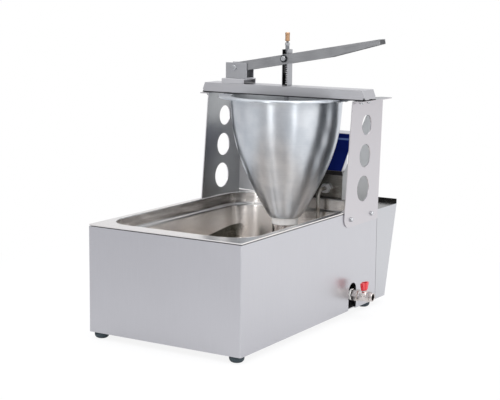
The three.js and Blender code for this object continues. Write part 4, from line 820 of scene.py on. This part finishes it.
# The outside of its wall is one smooth curve, drawn by four points. The inside runs a sheet's thickness
# away from it.
outside, wall_steps = [], 40
for i in range(wall_steps + 1):
    t = i / wall_steps
    shares = ((1 - t) ** 3, 3 * t * (1 - t) ** 2, 3 * t * t * (1 - t), t ** 3)
    outside.append(sum((pull * share for pull, share in zip(pulls, shares)), Vector((0, 0))))
inside = []
for before, point, after in zip(outside, outside[1:], outside[2:]):
    along = (after - before).normalized()
    inside.append(point + Vector((-along.y, along.x)) * sheet)
hole = 24.4 * MM
profile = [(hole, low.z), (31 * MM, low.z), (33.2 * MM, low.z + 0.7 * MM), *outside[1:-1]]
profile += [(mouth + 1 * MM, top - 0.8 * MM), (mouth + 2.4 * MM, top), (rim - 1.6 * MM, top)]
profile += [(rim - 1.5 * MM, high.z - 3.6 * MM), (rim - 0.8 * MM, high.z - 4 * MM), (rim, high.z - 3.4 * MM)]
profile += [(rim, high.z - 1 * MM), (rim - 1 * MM, high.z), (mouth + 1 * MM, high.z)]
profile += [(mouth - 1 * MM, high.z - 0.8 * MM), *reversed(inside)]
profile += [(31.6 * MM, low.z + sheet), (hole, low.z + sheet)]
hopper = turn([tuple(point) for point in profile], (hopper_x, hopper_y, 0), steps=144)
# Faces turned in towards the axis take the lining: scraped with wear, and painted darker as shade.
for face in hopper.faces:
    middle = face.calc_center_median()
    if face.normal.dot(Vector((middle.x - hopper_x, middle.y - hopper_y, 0))) < -0.001:
        face.material_index = 1
piece = add_piece("spun_hopper", hopper, spun, replaced=["hopper"], sharp=40)
worn_and_shaded, where = start_finish("worn_and_shaded_lining", "aeb1b4", metallic=0.7)
scrapes = clouds(where, 0.02, 3.0)
feed(worn_and_shaded, roughness=0.35 + 0.15 * scrapes, colour=scrapes.mix(ink("9fa2a5"), ink("bbbec1")))
piece.data.materials.append(worn_and_shaded)


# ---- Nozzle
# A white plastic collar clamps under the hopper's floor. The steel cylinder's neck passes up through
# it and hooks over the floor, and a disc on three spokes at its mouth makes the ring of batter.
white, where = start_finish("collar_plastic", "f6f6f5", roughness=0.42)
feed(white, bump=clouds(where, 0.01) * 0.05)
low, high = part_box("nozzle_collar")
radius, edge, hole = (high.x - low.x) / 2, 0.8 * MM, 24.3 * MM
collar = turn(
    [
        (hole, low.z), (radius - edge, low.z), (radius, low.z + edge), (radius, high.z - edge),
        (radius - edge, high.z), (hole, high.z),
    ],
    (hopper_x, hopper_y, 0), steps=72,
)
add_piece("turned_collar", collar, white, replaced=["nozzle_collar"])
bright, where = start_finish("bright_steel", "d6d6d8", metallic=1.0)
fine = clouds(where, 0.003, 3.0)
feed(bright, roughness=0.09 + 0.08 * fine)
nozzle_low, nozzle_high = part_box("nozzle_cylinder")
shoulder, hook = low.z - 0.3 * MM, nozzle_high.z - 2 * MM
bore, neck, skirt, lip = 21.5 * MM, 24 * MM, 27.2 * MM, 27.7 * MM
nozzle = turn(
    [
        (bore, nozzle_low.z), (26.6 * MM, nozzle_low.z), (skirt, nozzle_low.z + 0.6 * MM),
        (skirt, shoulder - 0.5 * MM), (26.7 * MM, shoulder), (neck, shoulder), (neck, hook),
        (27.3 * MM, hook), (lip, hook + 0.4 * MM), (lip, nozzle_high.z - 0.5 * MM),
        (27.2 * MM, nozzle_high.z), (bore, nozzle_high.z),
    ],
    (hopper_x, hopper_y, 0), steps=72,
)
add_piece("turned_nozzle", nozzle, bright, replaced=["nozzle_cylinder"])
folded("ring_former", bright, radius=0.3 * MM)


# ---- Plunger
# A bright steel rod with a white piston hangs from the crosshead in the guide post. Above it come a
# threaded stud, a lock nut and the brass knob that sets the portion.
low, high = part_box("plunger_rod")
under_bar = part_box("bridge_bar")[1].z - 2.3 * MM
thick, thin = 4.7 * MM, 3.5 * MM
rod = turn(
    [
        (0, low.z), (4.2 * MM, low.z), (thick, low.z + 0.5 * MM), (thick, under_bar - 0.4 * MM),
        (4.3 * MM, under_bar), (thin, under_bar), (thin, high.z), (0, high.z),
    ],
    (hopper_x, hopper_y, 0), steps=40,
)
# Above the bar, inside the guide post, the rod is painted dark as shade.
rod_shade, where = start_finish("rod_painted_shade", "2a2a2b", roughness=0.35)
feed(rod_shade, bump=clouds(where, 0.002) * 0.02)
for face in rod.faces:
    face.material_index = int(face.calc_center_median().z > under_bar)
piece = add_piece("turned_rod", rod, bright, "plunger", ["plunger_rod"])
piece.data.materials.append(rod_shade)
low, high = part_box("portion_piston")
radius, socket, socket_floor = (high.x - low.x) / 2, 5 * MM, low.z + 5.7 * MM
piston = turn(
    [
        (0, low.z), (radius - 1 * MM, low.z), (radius, low.z + 1 * MM), (radius, high.z - 3 * MM),
        (radius - 3 * MM, high.z), (socket, high.z), (socket, socket_floor), (0, socket_floor),
    ],
    (hopper_x, hopper_y, 0), steps=64,
)
add_piece("turned_piston", piston, white, "plunger", ["portion_piston"])
stud_steel, where = start_finish("stud_steel", "8d8f92", metallic=1.0)
height = where.node("SeparateXYZ", {0: where}).twin("Z")
half_pitch = 0.5 * MM
thread = height.math("PINGPONG", height, half_pitch) * (1 / half_pitch)
soot = clouds(where, 0.002, 3.0)
# The thread's roots are painted dark as shade and its crests light as a painted highlight.
thread_painted_shade = thread.mix(ink("54565a"), ink("a8aaad"))
feed(stud_steel, roughness=0.3 + 0.2 * soot, bump=thread * 0.25, colour=thread_painted_shade)
folded("crosshead", stud_steel, "plunger", radius=0.3 * MM)
low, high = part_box("jam_nut")
lock = bmesh.new()
hexagon(lock, (hopper_x, hopper_y), flats=8.6 * MM, bottom=low.z, top=high.z, chamfer=0.6 * MM)
add_piece("lock_nut", lock, zinc, "plunger", ["jam_nut"])
brass, where = start_finish("turned_brass", "d3a476", metallic=1.0)
tarnish = clouds(where, 0.004, 3.0)
feed(brass, roughness=0.22 + 0.2 * tarnish, colour=tarnish.mix(ink("a37c5e"), ink("cfab88")))
low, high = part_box("portion_knob")
bore, bore_top, waist, radius = 3.1 * MM, low.z + 14 * MM, 4.7 * MM, 5 * MM
knob = turn(
    [
        (0, bore_top), (bore, bore_top), (bore, low.z), (4.4 * MM, low.z),
        (radius, low.z + 0.6 * MM), (radius, low.z + 3.4 * MM), (waist, low.z + 3.8 * MM),
        (waist, high.z - 4.4 * MM), (radius, high.z - 4 * MM), (radius, high.z - 1 * MM),
        (4 * MM, high.z), (0, high.z),
    ],
    (hopper_x, hopper_y, 0), steps=48,
)
add_piece("brass_knob", knob, brass, "portion_knob", ["portion_knob"])


# ---- Return spring
# Ten turns of hard, bright steel wire stand round the rod, inside the guide post, and push the
# crosshead up from the bridge.
spring_steel, where = start_finish("spring_steel", "e4e4e6", metallic=1.0)
feed(spring_steel, roughness=0.18 + 0.15 * clouds(where, 0.004))
low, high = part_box("return_spring")
wire, turns, per_turn = 1.7 * MM, 10, 36
coil = bmesh.new()
start = Matrix.Translation((high.x - wire / 2, hopper_y, low.z + wire / 2))
start = start @ Matrix.Rotation(math.pi / 2, 4, "X")
bmesh.ops.create_circle(coil, cap_ends=True, segments=10, radius=wire / 2, matrix=start)
bmesh.ops.spin(
    coil, geom=list(coil.faces) + list(coil.edges) + list(coil.verts), cent=(hopper_x, hopper_y, 0),
    axis=(0, 0, 1), dvec=(0, 0, (high.z - low.z - wire) / (turns * per_turn)), angle=2 * math.pi * turns,
    steps=turns * per_turn,
)
bmesh.ops.remove_doubles(coil, verts=coil.verts, dist=1e-7)
bmesh.ops.recalc_face_normals(coil, faces=coil.faces)
spring = add_piece("wound_spring", coil, spring_steel, "plunger", ["return_spring"])
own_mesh(spring)


# ---- Lever
# The arm is one folded channel, open below, that narrows from a kink to its tip. Its grain runs along
# it. A grey plug closes the tip.
arm_steel, where = start_finish("arm_steel", "a7a8aa", metallic=1.0)
arm_slope = math.radians(9.8)
tilted = where.node("Mapping", {"Vector": where, "Rotation": (0, arm_slope, 0)})
lines = drawn_lines(tilted, 900, "x")
rubs = clouds(where, 0.03, 3.0)
feed(
    arm_steel,
    colour=(0.6 * lines + 0.4 * rubs).between(0.3, 0.7).mix(ink("929395"), ink("a7a8aa")),
    roughness=0.28 + 0.10 * lines + 0.08 * rubs,
    bump=lines * 0.004,
)
folded("lever", arm_steel, "lever", radius=0.8 * MM)
grey_plug, where = start_finish("grey_plug", "3b3c3e", roughness=0.5)
feed(grey_plug, bump=clouds(where, 0.0015) * 0.03)
folded("lever_end_plug", grey_plug, "lever", radius=0.4 * MM)

# The follower bolt carries the arm on the crosshead. Its broad washer is painted dark as shade.
shaded_washer, where = start_finish("shaded_washer", "3c3d40", metallic=1.0)
feed(shaded_washer, roughness=0.35 + 0.2 * clouds(where, 0.003))
low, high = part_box("follower_bolt")
bolt_x, bolt_z = (low.x + high.x) / 2, (low.z + high.z) / 2
hole, radius, thickness = 2.6 * MM, 7.9 * MM, 1.4 * MM
washer = turn(
    [
        (hole, 0), (7.4 * MM, 0), (radius, 0.4 * MM), (radius, 1.1 * MM), (7.4 * MM, thickness),
        (hole, thickness),
    ],
    (bolt_x, low.y + 3.3 * MM, bolt_z), axis=(0, 1, 0), steps=48,
)
add_piece("shaded_follower_washer", washer, shaded_washer, "lever")
follower = bolt("follower_bolt", "y", 2.5 * MM, 9.6 * MM, head_last=False)
add_piece("follower_pin", follower, zinc, "lever", ["follower_bolt"])


# ---- Heating head
# A low box of finely brushed steel stands on the rear housing. Two hexagonal glands hold the sheathed
# element, which drops into the oil and lies over the tank's floor in two long loops.
folded("head_box", brushed("head_steel", "918f8a", 0.24, "x", pitch=2200))
gland_plate, where = start_finish("plated_glands", "eceef1", metallic=1.0)
feed(gland_plate, roughness=0.4 + 0.15 * clouds(where, 0.003))
for side in ("left", "right"):
    folded("element_gland_" + side, gland_plate, radius=0.4 * MM)
sheath, where = start_finish("element_sheath", "8c8a86", metallic=1.0)
scorch = clouds(where, 0.03, 4.0)
heat_tint = scorch.between(0.35, 0.7).mix(ink("a3a19d"), ink("776d62"))
feed(sheath, roughness=0.28 + 0.25 * scorch, colour=heat_tint)
low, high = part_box("heating_element")
gland_low, gland_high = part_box("element_gland_right")
radius = 4.1 * MM
upper, lower = high.z - radius, low.z + radius
gland_x, loop_x, core_x = (gland_low.x + gland_high.x) / 2, high.x - radius, machine_x + 37 * MM
drop_y, tip_y, splay_y = casing_high.y - 34 * MM, low.y + radius, casing_high.y - 120 * MM
half = [
    (gland_x, high.y, upper), (gland_x, drop_y, upper), (gland_x, drop_y, lower),
    (gland_x, splay_y + 48 * MM, lower), (loop_x, splay_y, lower), (loop_x, tip_y, lower),
    (core_x, tip_y, lower), (core_x, splay_y - 32 * MM, lower),
]
other_half = [(2 * machine_x - x, y, z) for x, y, z in reversed(half)]
element = bmesh.new()
follow(element, half + other_half, bend=16 * MM, radius=radius, sides=20, steps=8)
bmesh.ops.holes_fill(element, edges=[e for e in element.edges if e.is_boundary], sides=20)
bmesh.ops.recalc_face_normals(element, faces=element.faces)
add_piece("bent_element", element, sheath, replaced=["heating_element"])


# ---- Console
# A folded hood carries the blue control panel on its slope and brow, and the switch box stands behind
# it with the wiring. The panel is enamelled, with a painted highlight as a paler band under its top
# edge. Painted shade lines the hood below the panel.
low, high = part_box("console_panel")
# The hood is painted dark just below the panel, as shade.
folded("console_hood", brushed("hood_steel", "bfc1c5", 0.30, "x", painted_shade_top=low.z + 0.5 * MM))
folded("switch_box", casing_steel)
blue, where = start_finish("blue_panel", "041a66", roughness=0.5, specular_ior_level=0.1)
height = where.node("SeparateXYZ", {0: where}).twin("Z")
# The paler band under the panel's top edge is a painted highlight.
highlight_low, highlight_high, blur = high.z - 13 * MM, high.z - 9 * MM, 0.5 * MM
painted_highlight_band = height.between(highlight_low - blur, highlight_low + blur)
painted_highlight_band = painted_highlight_band * height.between(highlight_high - blur, highlight_high + blur, 1.0, 0.0)
feed(blue, colour=painted_highlight_band.mix(ink("041a66"), ink("6a82b8")), bump=clouds(where, 0.002) * 0.01)
folded("console_panel", blue, radius=0.2 * MM)


# ---- Controls
# On the slope stand a moulded thermostat dial with a ring of painted ticks, a green and an amber lamp,
# and a red rocker in a black bezel. The cord's screwed gland is at the back of the head.
low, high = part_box("thermostat_dial")
dial_plastic, where = start_finish("dial_plastic", "1c1d1f", roughness=0.42)
panel_slope, ticks = math.radians(52.5), 24
ring_inner, ring_outer, blur = 13 * MM, 15.3 * MM, 0.1 * MM
own = where.node(
    "Mapping", {"Vector": where, "Location": (low + high) / 2, "Rotation": (panel_slope, 0, 0)},
    vector_type="TEXTURE",
)
across = own.node("SeparateXYZ", {0: own})
bearing = across.math("ARCTAN2", across.twin("Y"), across)
from_axis = across.math("SQRT", across * across + across.twin("Y") * across.twin("Y"))
tick = bearing.math("PINGPONG", bearing + math.pi, math.pi / ticks).between(0.012, 0.022, 1.0, 0.0)
ring = from_axis.between(ring_inner - blur, ring_inner + blur)
ring = ring * from_axis.between(ring_outer - blur, ring_outer + blur, 1.0, 0.0)
painted = (tick * ring).mix(ink("1c1d1f"), ink("e8e8e6"))
feed(dial_plastic, colour=painted, bump=clouds(where, 0.0015) * 0.03)
folded("thermostat_dial", dial_plastic, "thermostat", radius=0.5 * MM)
for node, colour in (("power_lamp", "2ea043"), ("heating_lamp", "e08a1c")):
    glass, where = start_finish(node + "_lens", colour, roughness=0.15, coat_weight=0.6)
    facets = clouds(where, 0.002, 1.0)
    feed(glass, bump=facets * 0.08, colour=facets.mix(tint(ink(colour), 0.8), ink(colour)))
    folded(node, glass, radius=0.4 * MM)
black, where = start_finish("black_plastic", "1c1d1f", roughness=0.45)
feed(black, bump=clouds(where, 0.0015) * 0.03)
folded("switch_bezel", black, radius=0.4 * MM)
folded("cable_gland", black, radius=0.5 * MM)
folded("rocker_switch", red, "rocker", radius=0.5 * MM)
